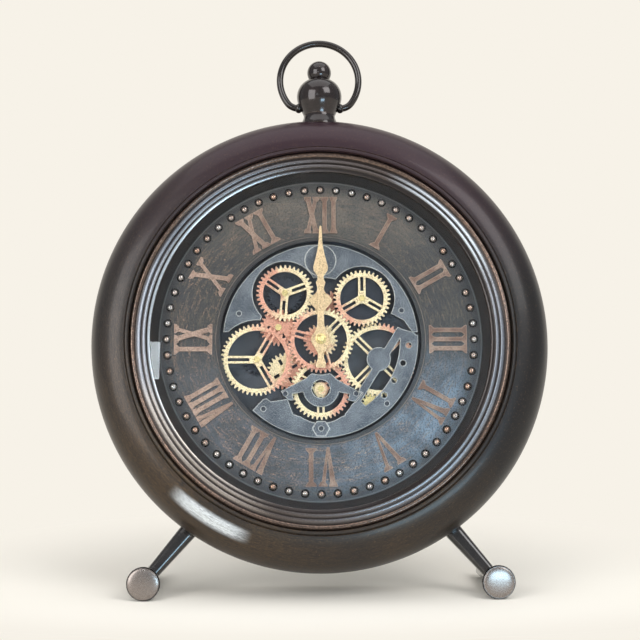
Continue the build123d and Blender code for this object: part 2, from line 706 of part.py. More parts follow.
def wheel(sketch, centre, front, bore):
    return plate(Pos(*centre) * (sketch - Circle(bore)), front, front + GEAR_THICKNESS)


def centre_wheel():
    """Wheel and pinion that turn on the hands' bush."""
    wheel_sketch = spoked(CENTRE_TEETH, CENTRE_PHASE, (45, 165, 285))
    hub = ARBOR_BORE + CENTRE_HUB_WALL
    solid = wheel(wheel_sketch + Circle(hub), CENTRE, FRONT_LAYER, ARBOR_BORE)
    solid += tube(CENTRE, hub, ARBOR_BORE, FRONT_LAYER + GEAR_THICKNESS, MIDDLE_LAYER)
    solid += wheel(gear_blank(CENTRE_PINION_TEETH, CENTRE_PHASE), CENTRE, MIDDLE_LAYER, ARBOR_BORE)
    return solid


def stacked(centre, front_sketch, front, back_sketch, back):
    """Two gears joined by a sleeve, turning on one post."""
    solid = wheel(front_sketch, centre, front, POST_BORE)
    solid += tube(centre, SLEEVE_RADIUS, POST_BORE, front + GEAR_THICKNESS, back)
    solid += wheel(back_sketch, centre, back, POST_BORE)
    return solid


def left_wheel():
    return stacked(
        LEFT,
        spoked(LEFT_TEETH, LEFT_PHASE, (20, 145, 265)),
        FRONT_LAYER,
        gear_blank(LEFT_PINION_TEETH, PINION_PHASE),
        MIDDLE_LAYER,
    )


def right_wheel():
    """The wheel in front, the four-arm wheel's driver behind it, and the idler's pinion last."""
    solid = stacked(
        RIGHT,
        spoked(RIGHT_TEETH, RIGHT_PHASE, (90, 210, 330)),
        FRONT_LAYER,
        gear_blank(RIGHT_TEETH, PINION_PHASE),
        MIDDLE_LAYER,
    )
    solid += tube(RIGHT, SLEEVE_RADIUS, POST_BORE, MIDDLE_LAYER + GEAR_THICKNESS, REAR_LAYER)
    return solid + wheel(gear_blank(RIGHT_PINION_TEETH, PINION_PHASE), RIGHT, REAR_LAYER, POST_BORE)


def large_wheel():
    return stacked(
        LARGE,
        spoked(LARGE_TEETH, LARGE_PHASE, (60, 180, 300)),
        FRONT_LAYER,
        gear_blank(LARGE_PINION_TEETH, PINION_PHASE),
        REAR_LAYER,
    )


def idler_sketch(teeth, phase, slot_angles):
    """A small wheel lightened by short slots."""
    sketch = gear_blank(teeth, phase)
    slot_length = pitch_radius(teeth) - DEDENDUM - SLEEVE_RADIUS - 2 * IDLER_RIM
    middle = SLEEVE_RADIUS + IDLER_RIM + slot_length / 2
    for angle in slot_angles:
        sketch -= Rot(0, 0, angle) * Pos(middle, 0) * Rectangle(slot_length, SPOKE_SLOT)
    return sketch


def left_idler():
    sketch = idler_sketch(LEFT_IDLER_TEETH, LEFT_IDLER_PHASE, (60, 180, 300))
    return wheel(sketch, LEFT_IDLER, MIDDLE_LAYER, POST_BORE)


def right_idler():
    sketch = idler_sketch(RIGHT_IDLER_TEETH, RIGHT_IDLER_PHASE, (0, 180))
    return wheel(sketch, RIGHT_IDLER, REAR_LAYER, POST_BORE)


def large_idler():
    sketch = idler_sketch(LARGE_IDLER_TEETH, LARGE_IDLER_PHASE, (30, 120, 210, 300))
    return wheel(sketch, LARGE_IDLER, REAR_LAYER, POST_BORE)


def four_arm_wheel():
    sketch = spoked(FOUR_ARM_TEETH, FOUR_ARM_PHASE, (45, 135, 225, 315))
    return wheel(sketch + Circle(SPOKE_WIDTH * 1.3), FOUR_ARM, MIDDLE_LAYER, POST_BORE)


def lower_wheel():
    """Lower wheel with a long hub that shows through the kite bridge."""
    sketch = spoked(LOWER_TEETH, LOWER_PHASE, (30, 150, 270))
    solid = wheel(sketch + Circle(SPOKE_WIDTH), LOWER, MIDDLE_LAYER, POST_BORE)
    return solid + tube(LOWER, LOWER_HUB_RADIUS, POST_BORE, LOWER_HUB_FRONT, MIDDLE_LAYER)


def drive_pinion():
    """Motor pinion with its shaft, which comes through the tray's floor."""
    pinion_back = MIDDLE_LAYER + GEAR_THICKNESS
    pinion = Pos(*DRIVE) * gear_blank(DRIVE_PINION_TEETH, DRIVE_PHASE)
    solid = plate(pinion, MIDDLE_LAYER, pinion_back)
    return solid + disc(DRIVE, DRIVE_SHAFT_RADIUS, pinion_back, TRAY_BACK + DRIVE_SHAFT_SEAT)


def gear_posts():
    """Steel posts with hexagonal shoulders, riveted into the tray's floor."""
    posts = []
    for centre, front, back in POSTS:
        post = disc(centre, POST_RADIUS, front - END_PLAY, TRAY_FLOOR)
        shoulder = Pos(*centre) * RegularPolygon(POST_RADIUS + POST_SHOULDER, 6)
        posts.append(post + plate(shoulder, back + END_PLAY, TRAY_FLOOR))
    return group(*posts)


def post_screws():
    """Brass hexagon heads that keep the wheels on their posts."""
    heads = []
    for centre, front, _ in POSTS:
        if centre not in BARE_POSTS:
            base = front - END_PLAY
            head = Pos(*centre) * RegularPolygon(POST_HEAD_RADIUS, 6)
            heads.append(plate(head, base - POST_HEAD_HEIGHT, base))
    return group(*heads)


# ---------------------------------------------------------------- gear plates and tray
def clear_of(centre, teeth):
    return Pos(*centre) * Circle(tip_radius(teeth) + PLATE_GEAR_GAP)


def upper_plate():
    """Plate over the upper half, cut round the left, right and large wheels."""
    upper_half = Pos(0, PLATE_RADIUS / 2 + UPPER_PLATE_FOOT_Z) * Rectangle(2 * PLATE_RADIUS, PLATE_RADIUS)
    sketch = Circle(PLATE_RADIUS) & upper_half
    sketch -= clear_of(LEFT, LEFT_TEETH)
    sketch -= clear_of(RIGHT, RIGHT_TEETH)
    sketch -= clear_of(LARGE, LARGE_TEETH)
    sketch -= Circle(UPPER_PLATE_INNER_RADIUS)
    sketch -= polygon((34, 0), (34, 16.2), (42.0, 15.6), (49.2, 11.6), (53.4, 5.4), (60, 0))
    for centre in UPPER_PILLARS[:2]:
        sketch -= Pos(*centre) * Circle(PLATE_SCREW_RADIUS)
    solid = plate(sketch, PLATE_FRONT, PLATE_BACK)
    return solid + disc(UPPER_PILLARS[2], BOSS_RADIUS, PLATE_FRONT - BOSS_HEIGHT, PLATE_FRONT)


def ring_sector(inner, outer, start, end):
    """Part of a ring between two angles, in degrees."""
    steps = max(2, round((end - start) / 30))
    far = 2 * outer
    fan = [polar(far, start + (end - start) * step / steps) for step in range(steps + 1)]
    return (Circle(outer) - Circle(inner)) & polygon((0, 0), *fan)


def lower_plate():
    """Band along the bottom that rises on the right as a slotted arm over the four-arm wheel."""
    band = ring_sector(ARM_INNER_RADIUS, PLATE_RADIUS, -134, 3)
    arm_end = polar(ARM_INNER_RADIUS + 1.2, 8)
    heading = heading_between(ARM_BAR_END, arm_end)
    length = math.dist(ARM_BAR_END, arm_end)
    bar = Pos(*ARM_BAR_END) * Rot(0, 0, heading) * Pos(length / 2, 0) * Rectangle(length, ARM_BAR_WIDTH)
    shoulder = polygon(
        arm_end,
        polar(PLATE_RADIUS - 3, 5),
        polar(PLATE_RADIUS, 2),
        polar(ARM_INNER_RADIUS, -6),
    )
    flank = polygon((-36.6, -37.4), (-19.5, -34.8), (-14, -50), (-30, -48))
    heel = polygon((14.0, -41.5), (22.0, -34.6), (26.5, -39.5), (14.0, -51))
    sketch = band + bar + shoulder + flank + heel + Pos(*FOUR_ARM) * Circle(ARM_BOSS_RADIUS)
    sketch = sketch & Circle(PLATE_RADIUS)
    sketch -= clear_of(LOWER, LOWER_TEETH)
    sketch -= clear_of(LARGE, LARGE_TEETH)
    sketch -= offset(bridge_sketch(), BRIDGE_GAP)
    for centre in ARM_HOLES:
        sketch -= Pos(*centre) * Circle(ARM_HOLE_RADIUS)
    for centre in LOWER_PILLARS[1:]:
        sketch -= Pos(*centre) * Circle(PLATE_SCREW_RADIUS)
    solid = plate(sketch, PLATE_FRONT, PLATE_BACK)
    hexagon = Pos(*LOWER_PILLARS[0]) * RegularPolygon(HEX_BOSS_RADIUS, 6)
    hexagon_front = PLATE_FRONT - HEX_BOSS_HEIGHT
    solid += plate(hexagon, hexagon_front, PLATE_FRONT)
    return solid - disc(LOWER_PILLARS[0], PLATE_SCREW_RADIUS, hexagon_front, PLATE_BACK)


def bridge_sketch():
    """Kite-shaped bridge with a ring round the lower wheel's hub."""
    top_z = -tip_radius(CENTRE_TEETH)
    kite = polygon(
        (-2.5, top_z),
        (2.5, top_z),
        (24.0, -31.5),
        (20.0, -36.2),
        (-19.0, -35.4),
        (-23.4, -30.2),
    )
    window = ring_sector(BRIDGE_RING_RADIUS, BRIDGE_RIB_RADIUS, 190, 350)
    window += ring_sector(BRIDGE_RING_RADIUS, PLATE_RADIUS, 202, 338)
    sketch = kite - Pos(*LOWER) * window + Pos(*LOWER) * Circle(BRIDGE_RING_RADIUS)
    sketch -= Circle(tip_radius(CENTRE_TEETH) + BRIDGE_TOP_GAP)
    return sketch - Pos(*LOWER) * Circle(BRIDGE_HOLE_RADIUS)


def kite_bridge():
    sketch = bridge_sketch()
    for centre in BRIDGE_PILLARS:
        sketch -= Pos(*centre) * Circle(PLATE_SCREW_RADIUS)
    return plate(sketch, PLATE_FRONT, PLATE_BACK)


def pillars():
    """Hexagonal standoffs between the tray's floor and the plates."""
    standoffs = []
    for centre in UPPER_PILLARS + LOWER_PILLARS + BRIDGE_PILLARS:
        section = Pos(*centre) * RegularPolygon(pillar_radius(centre), 6)
        standoffs.append(plate(section, PLATE_BACK, TRAY_FLOOR))
    return group(*standoffs)


def pillar_radius(centre):
    """Standoffs beside a wheel are slimmer."""
    return SLIM_PILLAR_RADIUS if centre in BRIDGE_PILLARS else PILLAR_RADIUS


def plate_screws():
    """Cheese-head screws that hold the plates to the pillars, sunk in the plates."""
    heads = []
    front = PLATE_FRONT + PLATE_SCREW_SINK
    for centre in UPPER_PILLARS[:2] + LOWER_PILLARS + BRIDGE_PILLARS:
        heads.append(disc(centre, PLATE_SCREW_RADIUS - RUNNING_FIT, front, PLATE_BACK))
    return group(*heads)


def gear_tray():
    """Moulded cup behind the dial's opening that carries the whole gear train."""
    wall = TRAY_BORE_RADIUS + TRAY_THICKNESS
    flange_back = DIAL_THICKNESS + TRAY_THICKNESS
    tray = turned(
        (0, TRAY_FLOOR),
        (TRAY_BORE_RADIUS, TRAY_FLOOR),
        (TRAY_BORE_RADIUS, DIAL_THICKNESS),
        (TRAY_FLANGE_RADIUS, DIAL_THICKNESS),
        (TRAY_FLANGE_RADIUS, flange_back),
        (wall, flange_back),
        (wall, TRAY_BACK),
        (0, TRAY_BACK),
    )
    tray -= disc(CENTRE, BUSH_RADIUS, TRAY_FLOOR, TRAY_BACK)
    tray -= disc(DRIVE, DRIVE_SHAFT_HOLE, TRAY_FLOOR, TRAY_BACK)
    return tray - screw_holes(TRAY_SCREW_CIRCLE, TRAY_SCREW_ANGLES, DIAL_THICKNESS, flange_back)


def tray_screws():
    """Screws through the tray's flange."""
    back = DIAL_THICKNESS + TRAY_THICKNESS
    return rim_screws(TRAY_SCREW_CIRCLE, TRAY_SCREW_ANGLES, DIAL_THICKNESS, back)


# ---------------------------------------------------------------- movement and hands
def hand_bush():
    """Threaded bush of the movement, on which the centre wheel turns."""
    bush = tube(CENTRE, BUSH_RADIUS, BUSH_BORE, COLLAR_BACK, TRAY_BACK)
    return bush + tube(CENTRE, BUSH_RADIUS + BUSH_SHOULDER, BUSH_BORE, BUSH_SHOULDER_FRONT, NUT_FRONT)


def bush_nut():
    """Hexagon nut that clamps the tray to the movement."""
    sketch = RegularPolygon(NUT_RADIUS, 6) - Circle(BUSH_RADIUS)
    return plate(sketch, NUT_FRONT, TRAY_FLOOR)


def centre_collar():
    """Brass washer that keeps the centre wheel on the bush."""
    return tube(CENTRE, BUSH_RADIUS + COLLAR_RIM, BUSH_BORE, COLLAR_BACK - COLLAR_THICKNESS, COLLAR_BACK)


def cell_bay(cells, centre, back):
    """Space for AA cells that lie side by side, open towards the back."""
    bay_depth = 2 * (CELL_RADIUS + CELL_GAP)
    length = CELL_LENGTH + 2 * CELL_GAP + CELL_NUB
    height = cells * 2 * (CELL_RADIUS + CELL_GAP)
    return plate(Pos(*centre) * Rectangle(length, height), back - bay_depth, back)


def movement_housing():
    """Quartz movement: a square box with an open cell bay and the motion work closed in."""
    outline = RectangleRounded(MOVEMENT_SIDE, MOVEMENT_SIDE, MOVEMENT_CORNER)
    body = plate(outline, TRAY_BACK, MOVEMENT_BACK)
    body -= cell_bay(1, CLOCK_CELL, MOVEMENT_BACK)
    length, height, depth = MOVEMENT_RECESS
    recess = Pos(0, MOVEMENT_SIDE / 4 + depth) * RectangleRounded(length, height, MOVEMENT_CORNER)
    body -= plate(recess, MOVEMENT_BACK - depth, MOVEMENT_BACK)
    body -= disc(CENTRE, BUSH_BORE, TRAY_BACK, TRAY_BACK + PIPE_SEAT)
    body -= disc(SETTING_KNOB, ARBOR_RADIUS + RUNNING_FIT, MOVEMENT_BACK - KNOB_SEAT, MOVEMENT_BACK)
    return body


def setting_knob():
    """Knurled knob on the movement's back that sets the hands."""
    front = MOVEMENT_BACK + END_PLAY
    knob = plate(Pos(*SETTING_KNOB) * RegularPolygon(KNOB_RADIUS, KNOB_FLUTES), front, front + KNOB_HEIGHT)
    return knob + disc(SETTING_KNOB, ARBOR_RADIUS, MOVEMENT_BACK - KNOB_SEAT + END_PLAY, front)


def aa_cell(centre, bay_back, flip):
    """One AA cell lying along X, with its positive nub."""
    axis_depth = bay_back - (CELL_RADIUS + CELL_GAP)
    nub = Cylinder(CELL_NUB_RADIUS, CELL_NUB, align=(Align.CENTER, Align.CENTER, Align.MIN))
    body = Cylinder(CELL_RADIUS, CELL_LENGTH) + Pos(0, 0, CELL_LENGTH / 2) * nub
    return Pos(centre[0] - flip * CELL_NUB / 2, axis_depth, centre[1]) * Rot(0, 90 * flip, 0) * body


def drive_cell_centres():
    reach = CELL_RADIUS + CELL_GAP
    return ((DRIVE_BOX[0], DRIVE_BOX[1] + reach), (DRIVE_BOX[0], DRIVE_BOX[1] - reach))


def drive_housing():
    """Box for the gear motor's two cells."""
    body = plate(Pos(*DRIVE_BOX) * RectangleRounded(*DRIVE_BOX_SIZE, DRIVE_BOX_CORNER), TRAY_BACK, DRIVE_BACK)
    return body - cell_bay(2, DRIVE_BOX, DRIVE_BACK)


def drive_cells():
    upper, lower = drive_cell_centres()
    return group(aa_cell(upper, DRIVE_BACK, 1), aa_cell(lower, DRIVE_BACK, -1))


def gear_motor():
    """Small geared motor fixed to the back of the tray's floor."""
    can_back = TRAY_BACK + MOTOR_LENGTH
    can = disc(DRIVE, MOTOR_RADIUS, TRAY_BACK, can_back)
    can += disc(DRIVE, MOTOR_RADIUS / 2, can_back, can_back + MOTOR_BOSS_LENGTH)
    shaft_hole_back = TRAY_BACK + DRIVE_SHAFT_SEAT + END_PLAY
    return can - disc(DRIVE, DRIVE_SHAFT_RADIUS + RUNNING_FIT, TRAY_BACK, shaft_hole_back)


def switch_body():
    """Slide switch fixed on the back of the tray's floor, beside the movement."""
    length, height, depth = SWITCH_BODY
    slot_length, slot_height, slot_depth = SWITCH_SLOT
    back = TRAY_BACK + depth
    body = plate(Pos(*SWITCH_CENTRE) * Rectangle(length, height), TRAY_BACK, back)
    return body - plate(Pos(*SWITCH_CENTRE) * Rectangle(slot_length, slot_height), back - slot_depth, back)


def switch_lever():
    """Slider at its OFF end."""
    length, height, proud = SWITCH_LEVER
    slot_floor = TRAY_BACK + SWITCH_BODY[2] - SWITCH_SLOT[2]
    off = Pos(SWITCH_CENTRE[0] - SWITCH_TRAVEL / 2, SWITCH_CENTRE[1])
    back = TRAY_BACK + SWITCH_BODY[2] + proud
    return plate(off * Rectangle(length, height), slot_floor + RUNNING_FIT, back)


def spade_hand(length, spade_at, spade_width, neck, hub):
    """Outline of a spade hand that points to XII, with a needle beyond the spade."""
    half = spade_width / 2
    shoulder = (neck / 2, spade_at - 1.3 * half)
    waist = (0.42 * half, spade_at + 2.1 * half)
    tip = (HAND_TIP_WIDTH / 2, length)
    to_tip = (tip[0] - waist[0], tip[1] - waist[1])
    right_half = make_face(
        Curve()
        + [
            Polyline((0, 0), (neck / 2, 0), shoulder),
            Spline(shoulder, (half, spade_at), waist, tangents=((0.6, 1), to_tip)),
            Polyline(waist, tip, (0, length), (0, 0)),
        ]
    )
    return right_half + mirror(right_half, Plane.YZ) + Circle(hub)


def hour_hand():
    outline = spade_hand(HOUR_LENGTH, HOUR_SPADE_AT, HOUR_SPADE_WIDTH, HOUR_NECK, HOUR_HUB_RADIUS)
    front = HOUR_HAND_BACK - HAND_THICKNESS
    return plate(outline - Circle(PIPE_RADIUS), front, HOUR_HAND_BACK)


def hour_pipe():
    """Brass pipe that carries the hour hand, from the movement's motion work."""
    return tube(CENTRE, PIPE_RADIUS, PIPE_BORE, HOUR_HAND_BACK - HAND_THICKNESS, HANDS_BACK_END)


def minute_hand():
    outline = spade_hand(
        MINUTE_LENGTH, MINUTE_SPADE_AT, MINUTE_SPADE_WIDTH, MINUTE_NECK, MINUTE_HUB_RADIUS
    )
    outline += Pos(0, -MINUTE_TAIL / 2) * Rectangle(MINUTE_TAIL_WIDTH, MINUTE_TAIL)
    outline += Pos(0, -MINUTE_TAIL) * Circle(MINUTE_TAIL_WIDTH / 2)
    front = MINUTE_HAND_BACK - HAND_THICKNESS
    return plate(outline - Circle(ARBOR_RADIUS), front, MINUTE_HAND_BACK)


def minute_arbor():
    return disc(CENTRE, ARBOR_RADIUS, MINUTE_HAND_BACK - HAND_THICKNESS, HANDS_BACK_END)


def hand_cap():
    """Domed brass nut on the minute arbor."""
    back = MINUTE_HAND_BACK - HAND_THICKNESS
    return turned(
        (0, back),
        (CAP_RADIUS, back),
        *arc_points((0, back - CAP_RIM), (CAP_RADIUS, CAP_HEIGHT - CAP_RIM), 0, -90, 5),
    )


# ---------------------------------------------------------------- the whole clock
def lean():
    return Location((0, 0, 0), (-LEAN_DEGREES, 0, 0))


def parts():
    return {
        "case_shell": case_shell(),
        "bezel_ring": bezel_ring(),
        "glass_lens": glass_lens(),
        "rehaut_ring": rehaut_ring(),
        "dial_plate": dial_plate(),
        "dial_brackets": dial_brackets(),
        "dial_screws": dial_screws(),
        "back_cover": back_cover(),
        "cover_screws": cover_screws(),
        "crown_neck": crown_neck(),
        "crown_knob": crown_knob(),
        "bow_ring": bow_ring(),
        "leg_left": leg(-1),
        "leg_right": leg(1),
        "foot_rod_left": foot_rod(-1),
        "foot_rod_right": foot_rod(1),
        "foot_cap_left": foot_cap(-1),
        "foot_cap_right": foot_cap(1),
        "gear_tray": gear_tray(),
        "tray_screws": tray_screws(),
        "upper_plate": upper_plate(),
        "lower_plate": lower_plate(),
        "kite_bridge": kite_bridge(),
        "plate_pillars": pillars(),
        "plate_screws": plate_screws(),
        "gear_posts": gear_posts(),
        "post_screws": post_screws(),
        "centre_wheel": centre_wheel(),
        "left_wheel": left_wheel(),
        "left_idler": left_idler(),
        "right_wheel": right_wheel(),
        "right_idler": right_idler(),
        "large_wheel": large_wheel(),
        "large_idler": large_idler(),
        "four_arm_wheel": four_arm_wheel(),
        "lower_wheel": lower_wheel(),
        "drive_pinion": drive_pinion(),
        "gear_motor": gear_motor(),
        "drive_housing": drive_housing(),
        "drive_cells": drive_cells(),
        "switch_body": switch_body(),
        "switch_lever": switch_lever(),
        "hand_bush": hand_bush(),
        "bush_nut": bush_nut(),
        "centre_collar": centre_collar(),
        "movement_housing": movement_housing(),
        "clock_cell": aa_cell(CLOCK_CELL, MOVEMENT_BACK, 1),
        "setting_knob": setting_knob(),
        "hour_hand": hour_hand(),
        "hour_pipe": hour_pipe(),
        "minute_hand": minute_hand(),
        "minute_arbor": minute_arbor(),
        "hand_cap": hand_cap(),
    }


def stand_up(pieces):
    """Leans the clock back on its feet, with the table at Z = 0 and the origin mid-footprint."""
    leaning = {name: piece.moved(lean()) for name, piece in pieces.items()}
    box = Compound(list(leaning.values())).bounding_box()
    centre = box.center()
    shift = Location((-centre.X, -centre.Y, -box.min.Z))
    return {name: piece.moved(shift) for name, piece in leaning.items()}, shift


def main():
    os.makedirs("parts", exist_ok=True)
    standing, shift = stand_up(parts())
    for name, piece in standing.items():
        export_step(piece, f"parts/{name}.step")
    return shift


STANDING_SHIFT = main()
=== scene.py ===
import json
import math

import bmesh
import bpy
from mathutils import Matrix, Vector, geometry

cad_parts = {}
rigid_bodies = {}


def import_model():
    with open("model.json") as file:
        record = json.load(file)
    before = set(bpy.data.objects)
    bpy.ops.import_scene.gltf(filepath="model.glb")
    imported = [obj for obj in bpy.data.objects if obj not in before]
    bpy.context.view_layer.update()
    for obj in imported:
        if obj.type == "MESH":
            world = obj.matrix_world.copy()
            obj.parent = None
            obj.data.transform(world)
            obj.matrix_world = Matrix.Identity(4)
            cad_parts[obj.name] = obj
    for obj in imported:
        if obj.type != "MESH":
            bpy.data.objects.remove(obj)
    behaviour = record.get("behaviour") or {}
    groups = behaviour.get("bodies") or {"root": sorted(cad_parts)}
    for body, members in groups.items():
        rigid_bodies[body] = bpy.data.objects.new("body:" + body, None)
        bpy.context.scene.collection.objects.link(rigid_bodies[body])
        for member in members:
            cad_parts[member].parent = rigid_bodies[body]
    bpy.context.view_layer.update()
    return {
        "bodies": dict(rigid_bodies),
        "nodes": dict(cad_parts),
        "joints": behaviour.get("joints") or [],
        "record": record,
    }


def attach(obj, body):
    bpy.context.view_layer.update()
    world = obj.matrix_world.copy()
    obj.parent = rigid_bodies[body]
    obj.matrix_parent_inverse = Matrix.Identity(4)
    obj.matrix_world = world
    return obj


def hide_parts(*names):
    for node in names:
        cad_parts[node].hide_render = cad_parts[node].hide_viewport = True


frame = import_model()

# ---------------------------------------------------------------- places
# Clock frame: origin on the dial's front at the hands' axis, X right, Y into the clock and
# Z towards XII. The meshes below are written in millimetres and stored in metres.
MM = 0.001
hand_turn = next(joint for joint in frame["joints"] if joint["name"] == "minute_turn")
ORIGIN = Vector(hand_turn["pos_m"])
INTO = Vector(hand_turn["axis"])
ACROSS = Vector((1, 0, 0))
UP = ACROSS.cross(INTO)
CLOCK = Matrix.Translation(ORIGIN) @ Matrix((ACROSS, INTO, UP)).transposed().to_4x4()
UPRIGHT = Matrix.Rotation(math.radians(90), 4, "X")
CROWN_DEPTH = 10.0
CROWN = CLOCK @ Matrix.Translation((0, CROWN_DEPTH * MM, 0)) @ UPRIGHT
FOOT_X = 102.0
FOOT_FRONT = -20.0
FOOT_DROP = 139.0
FOOT_SLOPE = math.radians(4.57)


def foot_frame(side):
    """Frame of a foot: Y runs back along the rod from the cap's face."""
    place = Vector((side * FOOT_X, FOOT_FRONT, -FOOT_DROP)) * MM
    return Matrix.Translation(ORIGIN + place) @ Matrix.Rotation(-FOOT_SLOPE, 4, "X")


# ---------------------------------------------------------------- mesh helpers
def arc(centre, radii, start, end, steps):
    """Points on an ellipse's arc, in degrees, both ends included."""
    points = []
    for i in range(steps + 1):
        angle = math.radians(start + (end - start) * i / steps)
        points.append((centre[0] + radii[0] * math.cos(angle), centre[1] + radii[1] * math.sin(angle)))
    return points


def bend(start, corner, end, steps):
    """Points on a curve that leaves `start` towards `corner` and comes into `end`, both included."""
    points = []
    for i in range(steps + 1):
        t = i / steps
        points.append(tuple(start * (1 - t) ** 2 + corner * 2 * t * (1 - t) + end * t * t))
    return points


def eased(points, steps=4):
    """Rounds each corner that carries a third number, its fillet's length, on a closed outline."""
    out = []
    for i, corner in enumerate(points):
        here = Vector(corner[:2])
        if len(corner) < 3:
            out.append(tuple(here))
            continue
        before = Vector(points[i - 1][:2]) - here
        after = Vector(points[(i + 1) % len(points)][:2]) - here
        reach = min(corner[2], before.length * 0.45, after.length * 0.45)
        start = here + before.normalized() * reach
        end = here + after.normalized() * reach
        out += bend(start, here, end, steps)
    return out


def finish_mesh(name, bm, matrix, material, sharp=40):
    bmesh.ops.remove_doubles(bm, verts=bm.verts, dist=1e-7)
    bmesh.ops.recalc_face_normals(bm, faces=bm.faces)
    bm.transform(matrix)
    mesh = bpy.data.meshes.new(name)
    bm.to_mesh(mesh)
    bm.free()
    mesh.shade_smooth()
    mesh.set_sharp_from_angle(angle=math.radians(sharp))
    mesh.materials.append(material)
    made = bpy.data.objects.new(name, mesh)
    bpy.context.scene.collection.objects.link(made)
    return made


def join(bm, part):
    """Adds the faces of `part` to `bm` and frees it."""
    mesh = bpy.data.meshes.new("part")
    part.to_mesh(mesh)
    part.free()
    bm.from_mesh(mesh)
    bpy.data.meshes.remove(mesh)


def spin(bm, profile, steps, closed=True):
    """Turns a profile of (radius, y) points in millimetres about the local Y axis."""
    rings = []
    for radius, y in profile:
        if radius < 1e-6:
            rings.append([bm.verts.new((0, y * MM, 0))] * steps)
            continue
        ring = []
        for i in range(steps):
            angle = 2 * math.pi * i / steps
            place = Vector((radius * math.cos(angle), y, radius * math.sin(angle)))
            ring.append(bm.verts.new(place * MM))
        rings.append(ring)
    pairs = list(zip(rings, rings[1:] + rings[:1])) if closed else list(zip(rings, rings[1:]))
    for near, far in pairs:
        for i in range(steps):
            k = (i + 1) % steps
            corners = []
            for vert in (near[i], near[k], far[k], far[i]):
                if vert not in corners:
                    corners.append(vert)
            if len(corners) > 2:
                bm.faces.new(corners)


def turned(name, profile, matrix, material, steps=192, closed=True, sharp=40):
    bm = bmesh.new()
    spin(bm, profile, steps, closed)
    return finish_mesh(name, bm, matrix, material, sharp)


def tube_along(bm, path, radius, sides=24):
    """A closed tube through the points of `path`, in millimetres, with flat ends."""
    points = [Vector(p) for p in path]
    rings = []
    side_way = None
    for i, point in enumerate(points):
        along = (points[min(i + 1, len(points) - 1)] - points[max(i - 1, 0)]).normalized()
        if side_way is None:
            side_way = along.orthogonal()
        side_way = (side_way - along * side_way.dot(along)).normalized()
        other_way = along.cross(side_way)
        ring = []
        for k in range(sides):
            angle = 2 * math.pi * k / sides
            offset = side_way * math.cos(angle) + other_way * math.sin(angle)
            ring.append(bm.verts.new((point + offset * radius) * MM))
        rings.append(ring)
    for near, far in zip(rings, rings[1:]):
        for k in range(sides):
            j = (k + 1) % sides
            bm.faces.new((near[k], near[j], far[j], far[k]))
    bm.faces.new(rings[0])
    bm.faces.new(rings[-1])


def inside(point, polygon):
    """True if a flat point lies in the polygon."""
    odd = False
    for (x1, z1), (x2, z2) in zip(polygon, [*polygon[1:], polygon[0]]):
        if (z1 > point[1]) != (z2 > point[1]) and point[0] < x1 + (point[1] - z1) * (x2 - x1) / (z2 - z1):
            odd = not odd
    return odd


def merged_outline(polygons):
    """Union of flat polygons as (points, triangles), from a constrained triangulation."""
    points = []
    loops = []
    for polygon in polygons:
        start = len(points)
        points += [Vector(p) for p in polygon]
        loops.append(list(range(start, len(points))))
    places, _, faces = geometry.delaunay_2d_cdt(points, [], loops, 0, 1e-4)[:3]
    kept = []
    for face in faces:
        middle = sum((places[i] for i in face), Vector((0, 0))) / len(face)
        if any(inside(middle, polygon) for polygon in polygons):
            kept.append(face)
    return places, kept


def slab(bm, polygons, front, thickness, bevel, place=Matrix.Identity(4)):
    """Extrudes the union of the polygons, in millimetres, and rounds the front's edge."""
    points, faces = merged_outline(polygons)
    part = bmesh.new()
    verts = {}
    for i in {i for face in faces for i in face}:
        verts[i] = part.verts.new((points[i][0] * MM, front * MM, points[i][1] * MM))
    for face in faces:
        part.faces.new([verts[i] for i in face])
    bmesh.ops.dissolve_limit(part, angle_limit=0.02, verts=part.verts, edges=part.edges)
    top = list(part.faces)
    raised = bmesh.ops.extrude_face_region(part, geom=top, use_keep_orig=True)["geom"]
    moved = [g for g in raised if isinstance(g, bmesh.types.BMVert)]
    bmesh.ops.translate(part, verts=moved, vec=(0, thickness * MM, 0))
    bmesh.ops.recalc_face_normals(part, faces=part.faces)
    edges = []
    for edge in part.edges:
        flat = all(abs(v.co.y - front * MM) < 1e-9 for v in edge.verts)
        if flat and len(edge.link_faces) == 2 and edge.calc_face_angle(0) > 1:
            edges.append(edge)
    bmesh.ops.bevel(part, geom=edges, offset=bevel * MM, segments=2, affect="EDGES", clamp_overlap=True)
    part.transform(place)
    join(bm, part)


# ---------------------------------------------------------------- material helpers
def rgb(red, green, blue):
    """A shader colour from a picture's 0 to 255 values."""
    linear = []
    for value in (red, green, blue):
        share = value / 255
        linear.append(share / 12.92 if share <= 0.04045 else ((share + 0.055) / 1.055) ** 2.4)
    return (*linear, 1.0)


